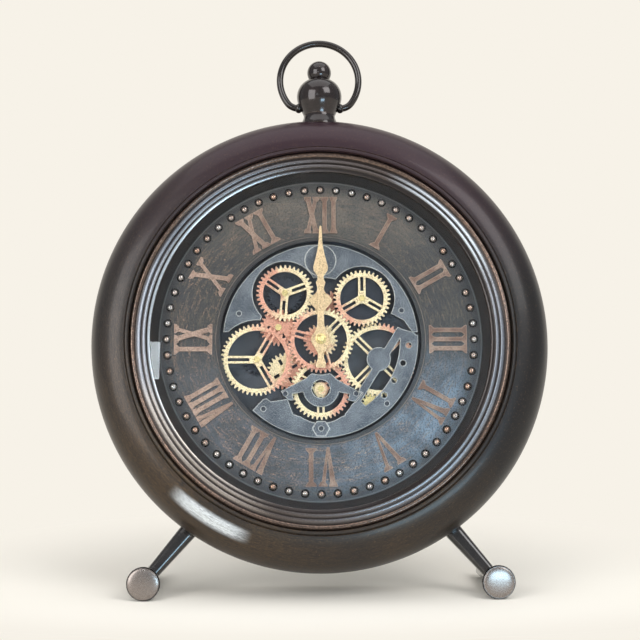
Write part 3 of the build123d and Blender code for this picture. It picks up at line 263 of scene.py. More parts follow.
class Shader:
    """A node material, with one method for each kind of step that the finishes below use."""

    def __init__(self, name, frame=CLOCK):
        self.frame = frame
        self.material = bpy.data.materials.new(name)
        self.material.use_nodes = True
        self.tree = self.material.node_tree
        self.tree.nodes.clear()
        self.out = self.node("OutputMaterial")
        self._place = None

    def node(self, kind, inputs=None, **settings):
        made = self.tree.nodes.new("ShaderNode" + kind)
        for key, value in settings.items():
            setattr(made, key, value)
        for key, value in (inputs or {}).items():
            if isinstance(value, bpy.types.NodeSocket):
                self.tree.links.new(value, made.inputs[key])
            else:
                made.inputs[key].default_value = value
        return made

    def math(self, operation, *values, clamp=False):
        inputs = dict(enumerate(values))
        return self.node("Math", inputs, operation=operation, use_clamp=clamp).outputs[0]

    @property
    def place(self):
        """The piece's own coordinates in the shader's frame, in millimetres."""
        if self._place is None:
            inputs = {
                "Vector": self.node("TexCoord").outputs["Object"],
                "Location": self.frame.to_translation(),
                "Rotation": self.frame.to_euler(),
                "Scale": (MM, MM, MM),
            }
            self._place = self.node("Mapping", inputs, vector_type="TEXTURE").outputs[0]
        return self._place

    def split(self):
        made = self.node("SeparateXYZ", {0: self.place})
        return made.outputs[0], made.outputs[1], made.outputs[2]

    def times(self, first, second):
        return self.math("MULTIPLY", first, second)

    def weigh(self, first, first_weight, second, second_weight):
        """Sum of two values, each times its weight."""
        return self.math("ADD", self.times(first, first_weight), self.times(second, second_weight))

    def radius(self):
        """Distance from the local Y axis, in millimetres."""
        x, _, z = self.split()
        return self.math("SQRT", self.weigh(x, x, z, z))

    def facing(self, way):
        """About 1 on the side of the local Y axis that the flat direction `way` points to, -1 opposite."""
        x, _, z = self.split()
        return self.math("DIVIDE", self.weigh(x, way[0], z, way[1]), self.radius())

    def circle(self, radius):
        """1 on a line of this radius round the local Y axis, and 0 from a third of a millimetre off it."""
        off = self.math("ABSOLUTE", self.math("SUBTRACT", self.radius(), radius))
        return self.math("SUBTRACT", 1.0, self.times(off, 3.0), clamp=True)

    def ring(self, around, across):
        """Coordinates that stretch a texture into streaks round the local Y axis."""
        x, y, z = self.split()
        radius = self.radius()
        safe = self.math("MAXIMUM", radius, 0.01)
        cosine = self.times(self.math("DIVIDE", x, safe), around)
        sine = self.times(self.math("DIVIDE", z, safe), around)
        along = self.times(self.math("ADD", radius, y), across)
        return self.node("CombineXYZ", {0: cosine, 1: sine, 2: along}).outputs[0]

    def noise(self, scale, detail=3.0, roughness=0.55, vector=None, distortion=0.0):
        inputs = {
            "Vector": vector or self.place,
            "Scale": scale,
            "Detail": detail,
            "Roughness": roughness,
            "Distortion": distortion,
        }
        return self.node("TexNoise", inputs).outputs[0]

    def span(self, value, low, high, to_low=0.0, to_high=1.0, smooth=False):
        inputs = {0: value, 1: low, 2: high, 3: to_low, 4: to_high}
        kind = "SMOOTHSTEP" if smooth else "LINEAR"
        return self.node("MapRange", inputs, interpolation_type=kind, clamp=True).outputs[0]

    def blend(self, share, first, second):
        """The first colour where `share` is 0 and the second where it is 1."""
        made = self.node("Mix", data_type="RGBA", blend_type="MIX", clamp_factor=True)
        for index, value in ((0, share), (6, first), (7, second)):
            if isinstance(value, bpy.types.NodeSocket):
                self.tree.links.new(value, made.inputs[index])
            else:
                made.inputs[index].default_value = value
        return made.outputs[2]

    def edges(self, radius):
        """1 on a sharp edge and 0 on a flat face."""
        soft = self.rounded(radius)
        true = self.node("NewGeometry").outputs["Normal"]
        alike = self.node("VectorMath", {0: soft, 1: true}, operation="DOT_PRODUCT").outputs["Value"]
        return self.span(alike, 0.99, 0.85)

    def bump(self, height, strength, distance=0.1, normal=None):
        inputs = {"Height": height, "Strength": strength, "Distance": distance * MM}
        if normal is not None:
            inputs["Normal"] = normal
        return self.node("Bump", inputs).outputs[0]

    def rounded(self, radius):
        """The surface's normal, turned near an edge as if the edge had this radius."""
        return self.node("Bevel", {"Radius": radius * MM}, samples=4).outputs[0]

    def surface(self, **inputs):
        named = {key.replace("_", " "): value for key, value in inputs.items()}
        made = self.node("BsdfPrincipled", named)
        self.tree.links.new(made.outputs[0], self.out.inputs[0])
        return self.material

    def mixed(self, share, first, second):
        """Ends the material in the first shader where `share` is 0 and the second where it is 1."""
        made = self.node("MixShader", {0: share, 1: first.outputs[0], 2: second.outputs[0]})
        self.tree.links.new(made.outputs[0], self.out.inputs[0])
        return self.material


FLECK = rgb(120, 94, 70)
DIAL_OPENING = 61.4
DIAL_OUTER_LINE = 94.2
ROSE_PLATING = (222, 160, 136)
GLASS_INDEX = 1.25


def case_finish():
    """Dark lacquer brushed round the case by hand, plum towards the top as a painted sheen, and rubbed
    through to bronze towards the left and the bottom, where on the left the brushed bronze streaks also
    stand for a painted sheen.

    At the lower left a band of near-white metal, more metallic too, is a painted highlight.
    """
    s = Shader("case_bronze")
    x, y, z = s.split()
    streaks = s.noise(1.6, 5.0, 0.65, s.ring(9.0, 1.1))
    fine = s.noise(2.4, 4.0, 0.7, s.ring(26.0, 2.6))
    clouds = s.noise(0.022, 3.0, 0.5)
    speckle = s.noise(1.1, 3.0, 0.7)
    # Lighter bronze streaks grow towards the left and the bottom: rub-through, and on the left also a
    # painted sheen.
    side = s.weigh(x, -0.0042, z, -0.0030)
    share = s.math("ADD", side, s.times(s.math("SUBTRACT", clouds, 0.5), 1.6))
    brushed = s.weigh(streaks, 0.35, fine, 0.65)
    rub_and_sheen = s.times(s.span(share, -0.3, 0.7), s.span(brushed, 0.42, 0.60))
    # The ground turns plum towards the top: a painted sheen.
    ground = s.blend(s.span(z, 30.0, 130.0), rgb(36, 34, 34), rgb(54, 36, 43))
    low = s.span(z, 20.0, -90.0)
    rubbed = s.blend(low, rgb(78, 72, 68), rgb(98, 80, 60))
    colour = s.blend(s.times(rub_and_sheen, 0.8), ground, rubbed)
    tired = s.times(s.span(speckle, 0.56, 0.7), s.span(fine, 0.45, 0.65))
    colour = s.blend(s.times(tired, 0.7), colour, FLECK)
    colour = s.blend(s.times(s.edges(0.5), s.span(speckle, 0.35, 0.6)), colour, FLECK)
    radius = s.radius()
    # A band on the lower left of the case turns near-white and metallic: a painted highlight.
    lower_left = s.span(s.facing((-0.530, -0.848)), 0.974, 0.998, smooth=True)
    band_start = s.span(radius, 117.0, 120.0, smooth=True)
    band_end = s.span(radius, 126.5, 123.0, smooth=True)
    band = s.times(s.times(band_start, band_end), s.span(y, 8.0, 0.0))
    painted_highlight = s.times(s.times(lower_left, s.span(brushed, 0.38, 0.54, 0.1, 1.0)), band)
    colour = s.blend(painted_highlight, colour, rgb(240, 247, 252))
    metal = s.math("MAXIMUM", s.span(rub_and_sheen, 0.0, 1.0, 0.35, 0.8), painted_highlight)
    return s.surface(
        Base_Color=colour,
        Metallic=metal,
        Roughness=s.span(fine, 0.25, 0.75, 0.28, 0.46),
        Specular_IOR_Level=0.3,
        Coat_Weight=0.14,
        Coat_Roughness=0.12,
        Normal=s.bump(fine, 0.14, 0.08),
    )


def bezel_finish():
    """The stepped ring: near-black grooves and ridges in speckled copper outside and grey inside; the grey
    turns to silver towards the left, the upper right and the lower left, and near-white on the inner left
    edge and the lip's left slope: painted highlights.
    """
    s = Shader("bezel_bronze")
    x, y, _ = s.split()
    fine = s.noise(2.6, 4.0, 0.7, s.ring(30.0, 3.0))
    speckle = s.noise(1.1, 3.0, 0.75)
    clouds = s.noise(0.03, 3.0, 0.5)
    radius = s.radius()
    # The lip's slope takes the ridges' colour towards the left, for the painted highlight there.
    slope = s.times(s.span(radius, 100.6, 100.0), s.span(x, 40.0, -60.0))
    raised = s.math("MAXIMUM", s.span(y, -9.3, -9.9), slope)
    inner = s.span(radius, 107.6, 107.0)
    left = s.facing((-0.91, 0.41))
    upper_right = s.facing((0.72, 0.69))
    # The inner ridges' grey turns silver towards the left, near-white at the upper right, pale at the
    # lower left and near-white at the inner left edge: painted highlights.
    silver = s.blend(s.math("POWER", left, 2.0), rgb(92, 82, 78), rgb(150, 157, 168))
    silver = s.blend(s.span(upper_right, 0.9, 0.99, smooth=True), silver, rgb(196, 204, 212))
    silver = s.blend(s.span(upper_right, -0.84, -0.97, 0.0, 0.8, smooth=True), silver, rgb(190, 180, 172))
    inner_left = s.times(s.span(left, 0.5, 0.95), s.span(radius, 102.2, 101.2))
    silver = s.blend(inner_left, silver, rgb(220, 230, 238))
    # The ridges' colour: speckled copper outside, and inside the grey with its painted highlights.
    worn = s.blend(inner, s.blend(clouds, rgb(140, 108, 88), rgb(116, 102, 94)), silver)
    share = s.times(raised, s.span(speckle, 0.4, 0.6, s.span(inner, 0.0, 1.0, 0.15, 0.7), 0.95))
    colour = s.blend(share, s.blend(clouds, rgb(34, 29, 28), rgb(48, 41, 38)), worn)
    colour = s.blend(s.times(s.span(fine, 0.5, 0.72), 0.4), colour, rgb(104, 86, 74))
    return s.surface(
        Base_Color=colour,
        Metallic=0.7,
        Roughness=s.span(fine, 0.25, 0.75, 0.16, 0.28),
        Coat_Weight=0.5,
        Coat_Roughness=0.08,
        Normal=s.bump(fine, 0.1, 0.05),
    )


def lacquer(name, low, high, rough, metallic, coat):
    """Lacquer over metal, glossy or satin, with clouded colour, orange peel and rubbed edges."""
    s = Shader(name)
    clouds = s.noise(0.12, 4.0, 0.6)
    peel = s.noise(1.3, 2.0, 0.5)
    dust = s.noise(3.5, 3.0, 0.7)
    colour = s.blend(s.span(clouds, 0.3, 0.7), low, high)
    colour = s.blend(s.times(s.edges(0.4), 0.5), colour, rgb(110, 88, 72))
    return s.surface(
        Base_Color=colour,
        Metallic=metallic,
        Roughness=s.span(dust, 0.3, 0.7, rough, rough + 0.12),
        Coat_Weight=coat,
        Coat_Roughness=0.06,
        Normal=s.bump(peel, 0.06, 0.1),
    )


def stud_finish():
    """Pewter domes, smooth and glossy, with copper showing in places and a dark foot."""
    s = Shader("stud_pewter")
    clouds = s.noise(0.05, 3.0, 0.5)
    speckle = s.noise(1.6, 3.0, 0.6)
    colour = s.blend(s.span(clouds, 0.4, 0.6), rgb(168, 162, 158), rgb(160, 130, 112))
    colour = s.blend(s.times(s.span(speckle, 0.55, 0.75), 0.4), colour, rgb(78, 68, 62))
    return s.surface(
        Base_Color=s.blend(s.span(s.split()[1], -0.6, -0.2), colour, rgb(36, 33, 33)),
        Metallic=0.85,
        Roughness=s.span(speckle, 0.3, 0.7, 0.16, 0.26),
        Coat_Weight=0.4,
        Coat_Roughness=0.05,
    )


def dial_finish():
    """Gunmetal dial with a brushed brown patina, streaked round and scratched, with a painted cool
    reflection at the lower right and painted shade at the rim.
    """
    s = Shader("dial_patina")
    x, _, z = s.split()
    radius = s.radius()
    streaks = s.noise(1.5, 5.0, 0.7, s.ring(7.0, 0.55))
    clouds = s.noise(0.07, 5.0, 0.7, distortion=0.4)
    scratch = s.noise(0.55, 6.0, 0.85, s.ring(14.0, 0.8), 1.0)
    grain = s.noise(1.0, 3.0, 0.75)
    warm = s.blend(s.span(z, 45.0, 85.0), rgb(50, 49, 46), rgb(96, 88, 78))
    # Below the middle the gunmetal turns blue-grey, bluer towards the right: a painted cool reflection.
    gunmetal_and_reflection = s.blend(s.span(x, -20.0, 60.0), rgb(72, 75, 80), rgb(96, 112, 126))
    ground = s.blend(s.span(z, 15.0, -45.0, smooth=True), warm, gunmetal_and_reflection)
    ground = s.blend(s.span(clouds, 0.4, 0.64, 0.0, 0.7), ground, rgb(42, 44, 48))
    colour = s.blend(s.times(s.span(streaks, 0.5, 0.66), 0.55), ground, rgb(100, 84, 70))
    rusty = s.times(s.span(scratch, 0.52, 0.64), s.span(grain, 0.46, 0.58))
    most = s.span(s.math("ADD", x, z), 70.0, -50.0, 0.3, 0.95)
    colour = s.blend(s.times(rusty, most), colour, rgb(158, 124, 96))
    colour = s.blend(s.span(grain, 0.5, 0.4, 0.0, 0.75), colour, rgb(36, 36, 38))
    # Darker towards the rim: painted shade.
    colour = s.blend(s.span(radius, 84.0, 92.0, 0.0, 0.78), colour, rgb(28, 29, 31))
    colour = s.blend(s.span(radius, DIAL_OPENING + 1.2, DIAL_OPENING, 0.0, 0.8), colour, rgb(34, 34, 35))
    edge = s.times(s.circle(DIAL_OPENING), s.span(clouds, 0.35, 0.6, 0.2, 0.8))
    colour = s.blend(edge, colour, rgb(128, 112, 98))
    colour = s.blend(s.times(s.circle(DIAL_OUTER_LINE), 0.5), colour, rgb(108, 108, 106))
    height = s.weigh(grain, 0.5, scratch, 0.5)
    return s.surface(
        Base_Color=colour,
        Metallic=0.35,
        Roughness=s.span(grain, 0.3, 0.7, 0.36, 0.52),
        Normal=s.bump(height, 0.08, 0.06),
    )


def numeral_finish():
    """Speckled copper with light worn edges, paler on the left as a painted sheen."""
    s = Shader("numeral_copper")
    speckle = s.noise(1.6, 3.0, 0.75)
    clouds = s.noise(0.08, 3.0, 0.5)
    ground = s.blend(s.span(clouds, 0.4, 0.6), rgb(104, 79, 66), rgb(136, 113, 98))
    # Paler towards the left: a painted sheen.
    ground = s.blend(s.span(s.split()[0], -20.0, -75.0, 0.0, 0.45), ground, rgb(190, 160, 140))
    colour = s.blend(s.span(speckle, 0.52, 0.4, 0.0, 0.8), ground, rgb(84, 66, 58))
    colour = s.blend(s.times(s.edges(0.3), 0.5), colour, rgb(176, 150, 130))
    return s.surface(
        Base_Color=colour,
        Metallic=0.5,
        Roughness=s.span(speckle, 0.3, 0.7, 0.36, 0.52),
        Normal=s.bump(speckle, 0.25, 0.1),
    )


def plate_finish():
    """Slate-blue plate with a cast grain, pale specks and light worn edges."""
    s = Shader("plate_blue")
    grain = s.noise(1.7, 3.0, 0.75)
    clouds = s.noise(0.09, 3.0, 0.5)
    colour = s.blend(s.span(clouds, 0.4, 0.6), rgb(58, 63, 71), rgb(88, 92, 98))
    colour = s.blend(s.span(grain, 0.5, 0.64, 0.0, 0.45), colour, rgb(160, 162, 162))
    colour = s.blend(s.span(grain, 0.48, 0.36, 0.0, 0.5), colour, rgb(42, 46, 53))
    colour = s.blend(s.times(s.edges(1.0), 0.9), colour, rgb(206, 202, 192))
    return s.surface(
        Base_Color=colour,
        Metallic=0.5,
        Roughness=s.span(grain, 0.3, 0.7, 0.34, 0.5),
        Normal=s.bump(grain, 0.4, 0.12, s.rounded(0.25)),
    )


def gear_finish(name, toward=None, offset=0.0, steel_from=None, gold=(244, 222, 178)):
    """Plated brass that shades from rose to gold between the two places in `toward`.

    Behind the depth `steel_from` the pinion is blued steel.
    """
    s = Shader(name)
    stain = s.noise(0.16, 3.0, 0.6)
    grain = s.noise(1.5, 3.0, 0.75)
    if toward:
        low, high = toward
        x, _, z = s.split()
        way = Vector(high) - Vector(low)
        step = way / way.dot(way)
        along = s.weigh(s.math("SUBTRACT", x, low[0]), step.x, s.math("SUBTRACT", z, low[1]), step.y)
        share = s.math("ADD", along, s.times(s.math("SUBTRACT", stain, 0.5), 0.7))
        share = s.span(s.math("ADD", share, offset), 0.3, 0.7, smooth=True)
        colour = s.blend(share, rgb(*ROSE_PLATING), rgb(*gold))
    else:
        stained = rgb(*[0.92 * v for v in gold])
        colour = s.blend(s.span(stain, 0.3, 0.7), stained, rgb(*gold))
    colour = s.blend(s.span(grain, 0.54, 0.38, 0.0, 0.65), colour, rgb(122, 88, 64))
    colour = s.blend(s.times(s.edges(0.25), 0.55), colour, rgb(250, 240, 214))
    if steel_from:
        deep = s.math("GREATER_THAN", s.split()[1], steel_from)
        colour = s.blend(deep, colour, rgb(52, 55, 62))
    return s.surface(
        Base_Color=colour,
        Metallic=0.75,
        Roughness=s.span(grain, 0.3, 0.7, 0.28, 0.42),
        Normal=s.bump(grain, 0.12, 0.06, s.rounded(0.2)),
    )


def steel_finish(name, colour, rough=0.25):
    """Turned steel with faint dull stains."""
    s = Shader(name)
    lathe = s.noise(3.0, 3.0, 0.7)
    stain = s.noise(0.3, 3.0, 0.6)
    dull = tuple(0.7 * v for v in colour[:3]) + (1.0,)
    return s.surface(
        Base_Color=s.blend(s.span(stain, 0.35, 0.65), colour, dull),
        Metallic=0.95,
        Roughness=s.span(lathe, 0.3, 0.7, rough, rough + 0.15),
        Normal=s.bump(lathe, 0.1, 0.05, s.rounded(0.2)),
    )


def plastic_finish(name, colour, rough=0.45):
    """Moulded plastic with a fine spark grain and slightly polished edges."""
    s = Shader(name)
    spark = s.noise(2.8, 2.0, 0.6)
    clouds = s.noise(0.06, 3.0, 0.5)
    light = tuple(min(1.0, 1.5 * v + 0.004) for v in colour[:3]) + (1.0,)
    worn = tuple(min(1.0, 2.2 * v + 0.02) for v in colour[:3]) + (1.0,)
    shade = s.blend(s.span(clouds, 0.3, 0.7), colour, light)
    return s.surface(
        Base_Color=s.blend(s.times(s.edges(0.35), 0.5), shade, worn),
        Roughness=s.span(spark, 0.3, 0.7, rough, rough + 0.15),
        Normal=s.bump(spark, 0.25, 0.08, s.rounded(0.25)),
    )


def glass_finish():
    """Clear glass with faint smears, which lets the lamps' light through to the dial."""
    s = Shader("clear_glass")
    smear = s.noise(0.03, 3.0, 0.6)
    clear = s.node(
        "BsdfPrincipled",
        {
            "Base Color": (0.97, 0.985, 0.985, 1.0),
            "Roughness": s.span(smear, 0.45, 0.75, 0.0, 0.02),
            "IOR": GLASS_INDEX,
            "Transmission Weight": 1.0,
        },
    )
    through = s.node("BsdfTransparent")
    shadow = s.node("LightPath").outputs["Is Shadow Ray"]
    return s.mixed(shadow, clear, through)


def cap_finish(side):
    """Foot cap: satin grey-brown face, speckled, with a dark bevelled rim."""
    s = Shader("foot_cap_satin", foot_frame(side))
    speckle = s.noise(2.2, 4.0, 0.75)
    face = s.blend(s.span(speckle, 0.35, 0.65), rgb(126, 115, 108), rgb(148, 140, 135))
    colour = s.blend(s.span(s.radius(), 8.7, 9.3), face, rgb(34, 30, 30))
    return s.surface(
        Base_Color=colour,
        Metallic=0.8,
        Roughness=s.span(speckle, 0.3, 0.7, 0.2, 0.32),
        Coat_Weight=0.2,
        Normal=s.bump(speckle, 0.05, 0.05),
    )


bronze = case_finish()
bezel_bronze = bezel_finish()
crown_black = lacquer("crown_lacquer", rgb(26, 20, 20), rgb(44, 35, 34), 0.1, 0.35, 0.4)
bow_black = lacquer("bow_lacquer", rgb(26, 22, 21), rgb(42, 35, 32), 0.12, 0.3, 0.4)
leg_black = lacquer("leg_lacquer", rgb(32, 30, 30), rgb(50, 46, 44), 0.14, 0.4, 0.7)
glass = glass_finish()
rehaut_black = lacquer("rehaut_satin", rgb(26, 25, 26), rgb(38, 35, 34), 0.3, 0.3, 0.2)
dial_patina = dial_finish()
numeral_copper = numeral_finish()
stud_dark = stud_finish()
plate_blue = plate_finish()
cover_black = lacquer("cover_satin", rgb(34, 32, 32), rgb(44, 41, 40), 0.4, 0.2, 0.0)
tray_plastic = plastic_finish("tray_plastic", rgb(44, 47, 54))
movement_plastic = plastic_finish("movement_plastic", rgb(50, 50, 54))
switch_plastic = plastic_finish("switch_plastic", rgb(30, 30, 30), 0.35)
cell_jacket = plastic_finish("cell_jacket", rgb(120, 126, 132), 0.25)
post_steel = steel_finish("post_steel", rgb(176, 176, 178))
screw_steel = steel_finish("screw_steel", rgb(190, 190, 190))
motor_steel = steel_finish("motor_steel", rgb(180, 180, 180), 0.3)
screw_dark = steel_finish("screw_dark", rgb(72, 74, 80), 0.35)
brass = gear_finish("brass", gold=(228, 206, 142))
hand_gold = gear_finish("hand_gold", gold=(238, 206, 160))

# ---------------------------------------------------------------- finishes of the CAD pieces
# Each gear's rose and gold ends, how far it leans to gold, and the depth where blued steel begins
GEARS = {
    "centre_wheel": (((-12, -8), (14, 6)), 0.0),
    "left_wheel": (((-38, 30), (-6, 26)), 0.1, 4.0),
    "left_idler": (((-25, 8), (0, 8)), -0.6),
    "right_wheel": (((12, 10), (32, 34)), 0.2, 4.0),
    "right_idler": (((10, 22), (30, 22)), -0.6),
    "large_wheel": (((-18, -6), (-56, -16)), 0.1, 4.0),
    "large_idler": (((-14, -24), (-30, -10)), 0.1),
    "four_arm_wheel": (((52, -2), (20, -20)), 0.25),
    "lower_wheel": (((14, -40), (-6, -46)), 0.1),
}
FINISHES = {
    glass: ("glass_lens",),
    dial_patina: ("dial_plate",),
    cover_black: ("back_cover", "dial_brackets"),
    tray_plastic: ("gear_tray", "drive_housing"),
    movement_plastic: ("movement_housing", "setting_knob"),
    switch_plastic: ("switch_body", "switch_lever"),
    cell_jacket: ("drive_cells", "clock_cell"),
    plate_blue: ("upper_plate", "lower_plate", "kite_bridge"),
    post_steel: ("plate_pillars", "gear_posts"),
    screw_steel: ("dial_screws", "cover_screws", "tray_screws"),
    screw_dark: ("plate_screws",),
    motor_steel: ("gear_motor",),
    brass: (
        "post_screws",
        "hand_bush",
        "bush_nut",
        "centre_collar",
        "hour_pipe",
        "minute_arbor",
        "drive_pinion",
    ),
}


def paint(node, material):
    mesh = frame["nodes"][node].data
    mesh.materials.clear()
    mesh.materials.append(material)


for material, names in FINISHES.items():
    for node in names:
        paint(node, material)
for node, shading in GEARS.items():
    paint(node, gear_finish(node + "_plating", *shading))

# ---------------------------------------------------------------- case and bezel
shell = turned(
    "case_shell_turned",
    eased(
        [
            (110.9, 0.0),
            (110.9, -11.2, 0.3),
            *arc((112.1, -11.3), (1.1, 1.35), 170, 350, 8),
            (113.35, -11.0),
            (113.7, -11.48, 0.2),
            *arc((113.5, 10.0), (21.48, 21.48), -88, 0, 30),
            *arc((128.5, 40.0), (6.5, 6.44), 0, 90, 8),
            (108.0, 46.44, 0.4),
            (108.0, 44.9, 0.4),
            *arc((128.5, 40.0), (4.9, 4.9), 90, 0, 6),
            *arc((113.5, 10.0), (19.9, 19.9), 0, -88, 16),
            (112.5, -9.0),
            (112.5, 0.0),
        ]
    ),
    CLOCK,
    bronze,
    256,
)
bezel = turned(
    "bezel_ring_turned",
    eased(
        [
            (105.4, 0.0),
            (110.8, 0.0),
            (110.8, -8.9, 0.5),
            (110.1, -10.2, 0.6),
            (108.9, -10.75, 0.7),
            (107.9, -10.2, 0.5),
            (107.3, -9.2, 0.3),
            (106.9, -9.3, 0.3),
            (105.2, -10.2, 0.5),
            (104.5, -10.15, 0.3),
            (104.1, -9.2, 0.25),
            (103.8, -9.2, 0.25),
            (102.4, -9.95, 0.4),
            (101.7, -9.9, 0.3),
            (101.3, -9.2, 0.3),
            (99.6, -9.0, 0.3),
            (98.9, -8.7, 0.3),
            (98.9, -7.92),
            (105.4, -7.92),
        ],
        3,
    ),
    CLOCK,
    bezel_bronze,
    256,
    sharp=50,
)
rehaut = turned(
    "rehaut_ring_turned",
    eased([(98.9, -5.8), (105.2, -5.8), (105.2, 0.0), (94.85, 0.0), (94.8, -0.25, 0.2)], 3),
    CLOCK,
    rehaut_black,
    256,
)

# ---------------------------------------------------------------- crown and bow
neck = turned(
    "crown_neck_turned",
    eased(
        [
            (0.0, 132.0),
            (11.6, 132.0),
            (11.3, 133.8, 0.6),
            (10.4, 135.6, 0.6),
            (9.7, 137.2, 0.6),
            (9.5, 139.0),
            (0.0, 139.0),
        ]
    ),
    CROWN,
    crown_black,
    96,
    closed=False,
)
knob = turned(
    "crown_knob_turned",
    [
        (0.0, 139.0),
        (9.5, 139.0),
        (9.9, 140.2),
        (11.0, 142.4),
        (12.2, 144.7),
        (13.1, 147.2),
        (13.6, 149.6),
        (13.7, 151.6),
        (13.45, 153.7),
        (12.8, 155.7),
        (11.7, 157.7),
        (10.2, 159.4),
        (8.5, 160.7),
        (6.9, 161.5),
        *arc((0.0, 166.6), (7.3, 7.3), -42, 90, 24),
    ],
    CROWN,
    crown_black,
    96,
    closed=False,
    sharp=50,
)
BOW_Z = 161.5
BOW_R = 24.0
BOW_WIRE_RADIUS = 2.06
PIVOT_Z = 144.0
PIN_END_X = 8.2
EYE_X = 12.6
EYE_RADII = (2.9, 2.5)


def bow_path():
    """Centre line of the bow: a round arch whose ends turn in along the pivot axis."""
    arch = arc((0, BOW_Z), (BOW_R, BOW_R), -36, 216, 72)
    turn = bend(Vector(arch[0]), Vector((16.9, PIVOT_Z)), Vector((12.0, PIVOT_Z)), 8)
    hook = [*turn[1:], (PIN_END_X, PIVOT_Z)]
    left_hook = [(-x, z) for x, z in hook]
    return [(x, CROWN_DEPTH, z) for x, z in hook[::-1] + arch + left_hook]


bm = bmesh.new()
tube_along(bm, bow_path(), BOW_WIRE_RADIUS)
for side in (-1, 1):
    eye = bmesh.new()
    spin(eye, arc((0.0, 0.0), EYE_RADII, -90, 90, 12), 32, closed=False)
    seat = Matrix.Translation(Vector((side * EYE_X, CROWN_DEPTH, PIVOT_Z)) * MM)
    eye.transform(seat @ Matrix.Rotation(math.radians(90), 4, "Z"))
    join(bm, eye)
bow = finish_mesh("bow_ring_wire", bm, CLOCK, bow_black)

# ---------------------------------------------------------------- legs and feet
LEG_TOP_RADIUS = 131.0
LEG_ANGLE = math.radians(35)
LEG_TOP_DEPTH = 24.0
LEG_SIDES = 48
LEG_STATIONS = ((0.0, 5.7), (0.5, 4.75), (0.93, 3.9), (1.0, 3.8))
LEG_FULLNESS = 0.94
RIDGE_ANGLE = math.radians(100)
RIDGE_HEIGHT = 0.12
ROD_RADIUS = 4.6
ROD_START = 4.2
ROD_END = 64.0
COLLAR_RADIUS = 6.6
COLLAR_START = 6.5
COLLAR_END = 17.5


def leg(side, name):
    """Tapered strut with a ridge along its front, and the collar that grips the foot rod.

    Each station is a share of the way down and the strut's half width there.
    """
    foot = foot_frame(side)
    top_x = side * LEG_TOP_RADIUS * math.sin(LEG_ANGLE)
    top_z = -LEG_TOP_RADIUS * math.cos(LEG_ANGLE)
    top = CLOCK @ (Vector((top_x, LEG_TOP_DEPTH, top_z)) * MM)
    bottom = foot @ Vector((0, (COLLAR_START + COLLAR_END) / 2 * MM, 0))
    down = (bottom - top).normalized()
    across = down.cross(INTO).normalized()
    outward = across.cross(down).normalized()
    bm = bmesh.new()
    rings = []
    for share, half in LEG_STATIONS:
        origin = top.lerp(bottom, share)
        ring = []
        for k in range(LEG_SIDES):
            angle = 2 * math.pi * k / LEG_SIDES
            squared = (abs(math.cos(angle)) ** 3 + abs(math.sin(angle)) ** 3) ** (-1 / 3)
            crest = max(0.0, math.cos(2 * (angle - RIDGE_ANGLE))) ** 12 if math.sin(angle) > 0 else 0.0
            reach = half * MM * min(squared, 1.16) * (1 + RIDGE_HEIGHT * crest) * LEG_FULLNESS
            offset = across * math.cos(angle) + outward * math.sin(angle)
            ring.append(bm.verts.new(origin + offset * reach))
        rings.append(ring)
    for near, far in zip(rings, rings[1:]):
        for k in range(LEG_SIDES):
            j = (k + 1) % LEG_SIDES
            bm.faces.new((near[k], near[j], far[j], far[k]))
    bm.faces.new(rings[0])
    bm.faces.new(rings[-1])
    collar = bmesh.new()
    profile = [
        (ROD_RADIUS, COLLAR_START),
        (COLLAR_RADIUS, COLLAR_START, 0.6),
        (COLLAR_RADIUS, COLLAR_END, 0.6),
        (ROD_RADIUS, COLLAR_END),
    ]
    spin(collar, eased(profile), 64)
    collar.transform(foot)
    join(bm, collar)
    return finish_mesh("leg_strut_" + name, bm, Matrix.Identity(4), leg_black, 30)


feet = []
for side, name in ((-1, "left"), (1, "right")):
    place = foot_frame(side)
    strut = leg(side, name)
    rod = turned(
        "foot_rod_turned_" + name,
        eased([(0.0, ROD_START), (ROD_RADIUS, ROD_START), (ROD_RADIUS, ROD_END, 0.8), (0.0, ROD_END)]),
        place,
        leg_black,
        64,
        closed=False,
    )
    cap = turned(
        "foot_cap_turned_" + name,
        eased(
            [
                (0.0, ROD_START),
                (8.9, ROD_START, 0.4),
                (9.68, 3.3, 0.5),
                (9.68, 1.7, 0.5),
                (9.1, 0.9, 0.35),
                *arc((0.0, 1.05), (8.8, 0.85), -6, -90, 10),
            ]
        ),
        place,
        cap_finish(side),
        96,
        closed=False,
    )
    feet.append((name, strut, rod, cap))

# ---------------------------------------------------------------- dial work
# Hour: its letters, each with the place of its middle and its width
NUMERALS = {
    0: (("X", -5.0, 9.4), ("I", 2.5, 4.9), ("I", 7.8, 4.6)),
    1: (("I", 0.0, 6.6),),
    2: (("I", -2.75, 6.2), ("I", 2.75, 6.2)),
    3: (("I", -5.4, 6.0), ("I", 0.0, 6.0), ("I", 5.4, 6.0)),
    4: (("I", -5.9, 6.4), ("V", 3.5, 11.0)),
    5: (("V", 0.0, 14.6),),
    6: (("V", -3.9, 11.0), ("I", 5.9, 6.4)),
    7: (("V", -5.6, 8.4), ("I", 1.1, 5.6), ("I", 6.65, 5.8)),
    8: (("V", -6.6, 7.0), ("I", -0.5, 4.4), ("I", 4.0, 4.4), ("I", 8.5, 4.4)),
    9: (("I", -5.8, 6.4), ("X", 3.1, 12.0)),
    10: (("X", 0.0, 14.8),),
    11: (("X", -3.1, 12.0), ("I", 6.4, 6.4)),
}
NUMERAL_INNER = 63.4
NUMERAL_OUTER = 85.6
NUMERAL_FRONT = -0.95
NUMERAL_THICKNESS = 1.15
NUMERAL_BEVEL = 0.22
SERIF = 1.05
STEM = 2.6
THIN = 2.1


def stroke(start, end, half):
    """A straight stroke between two heights, cut level at both ends."""
    return [
        (start[0] - half, start[1]),
        (end[0] - half, end[1]),
        (end[0] + half, end[1]),
        (start[0] + half, start[1]),
    ]


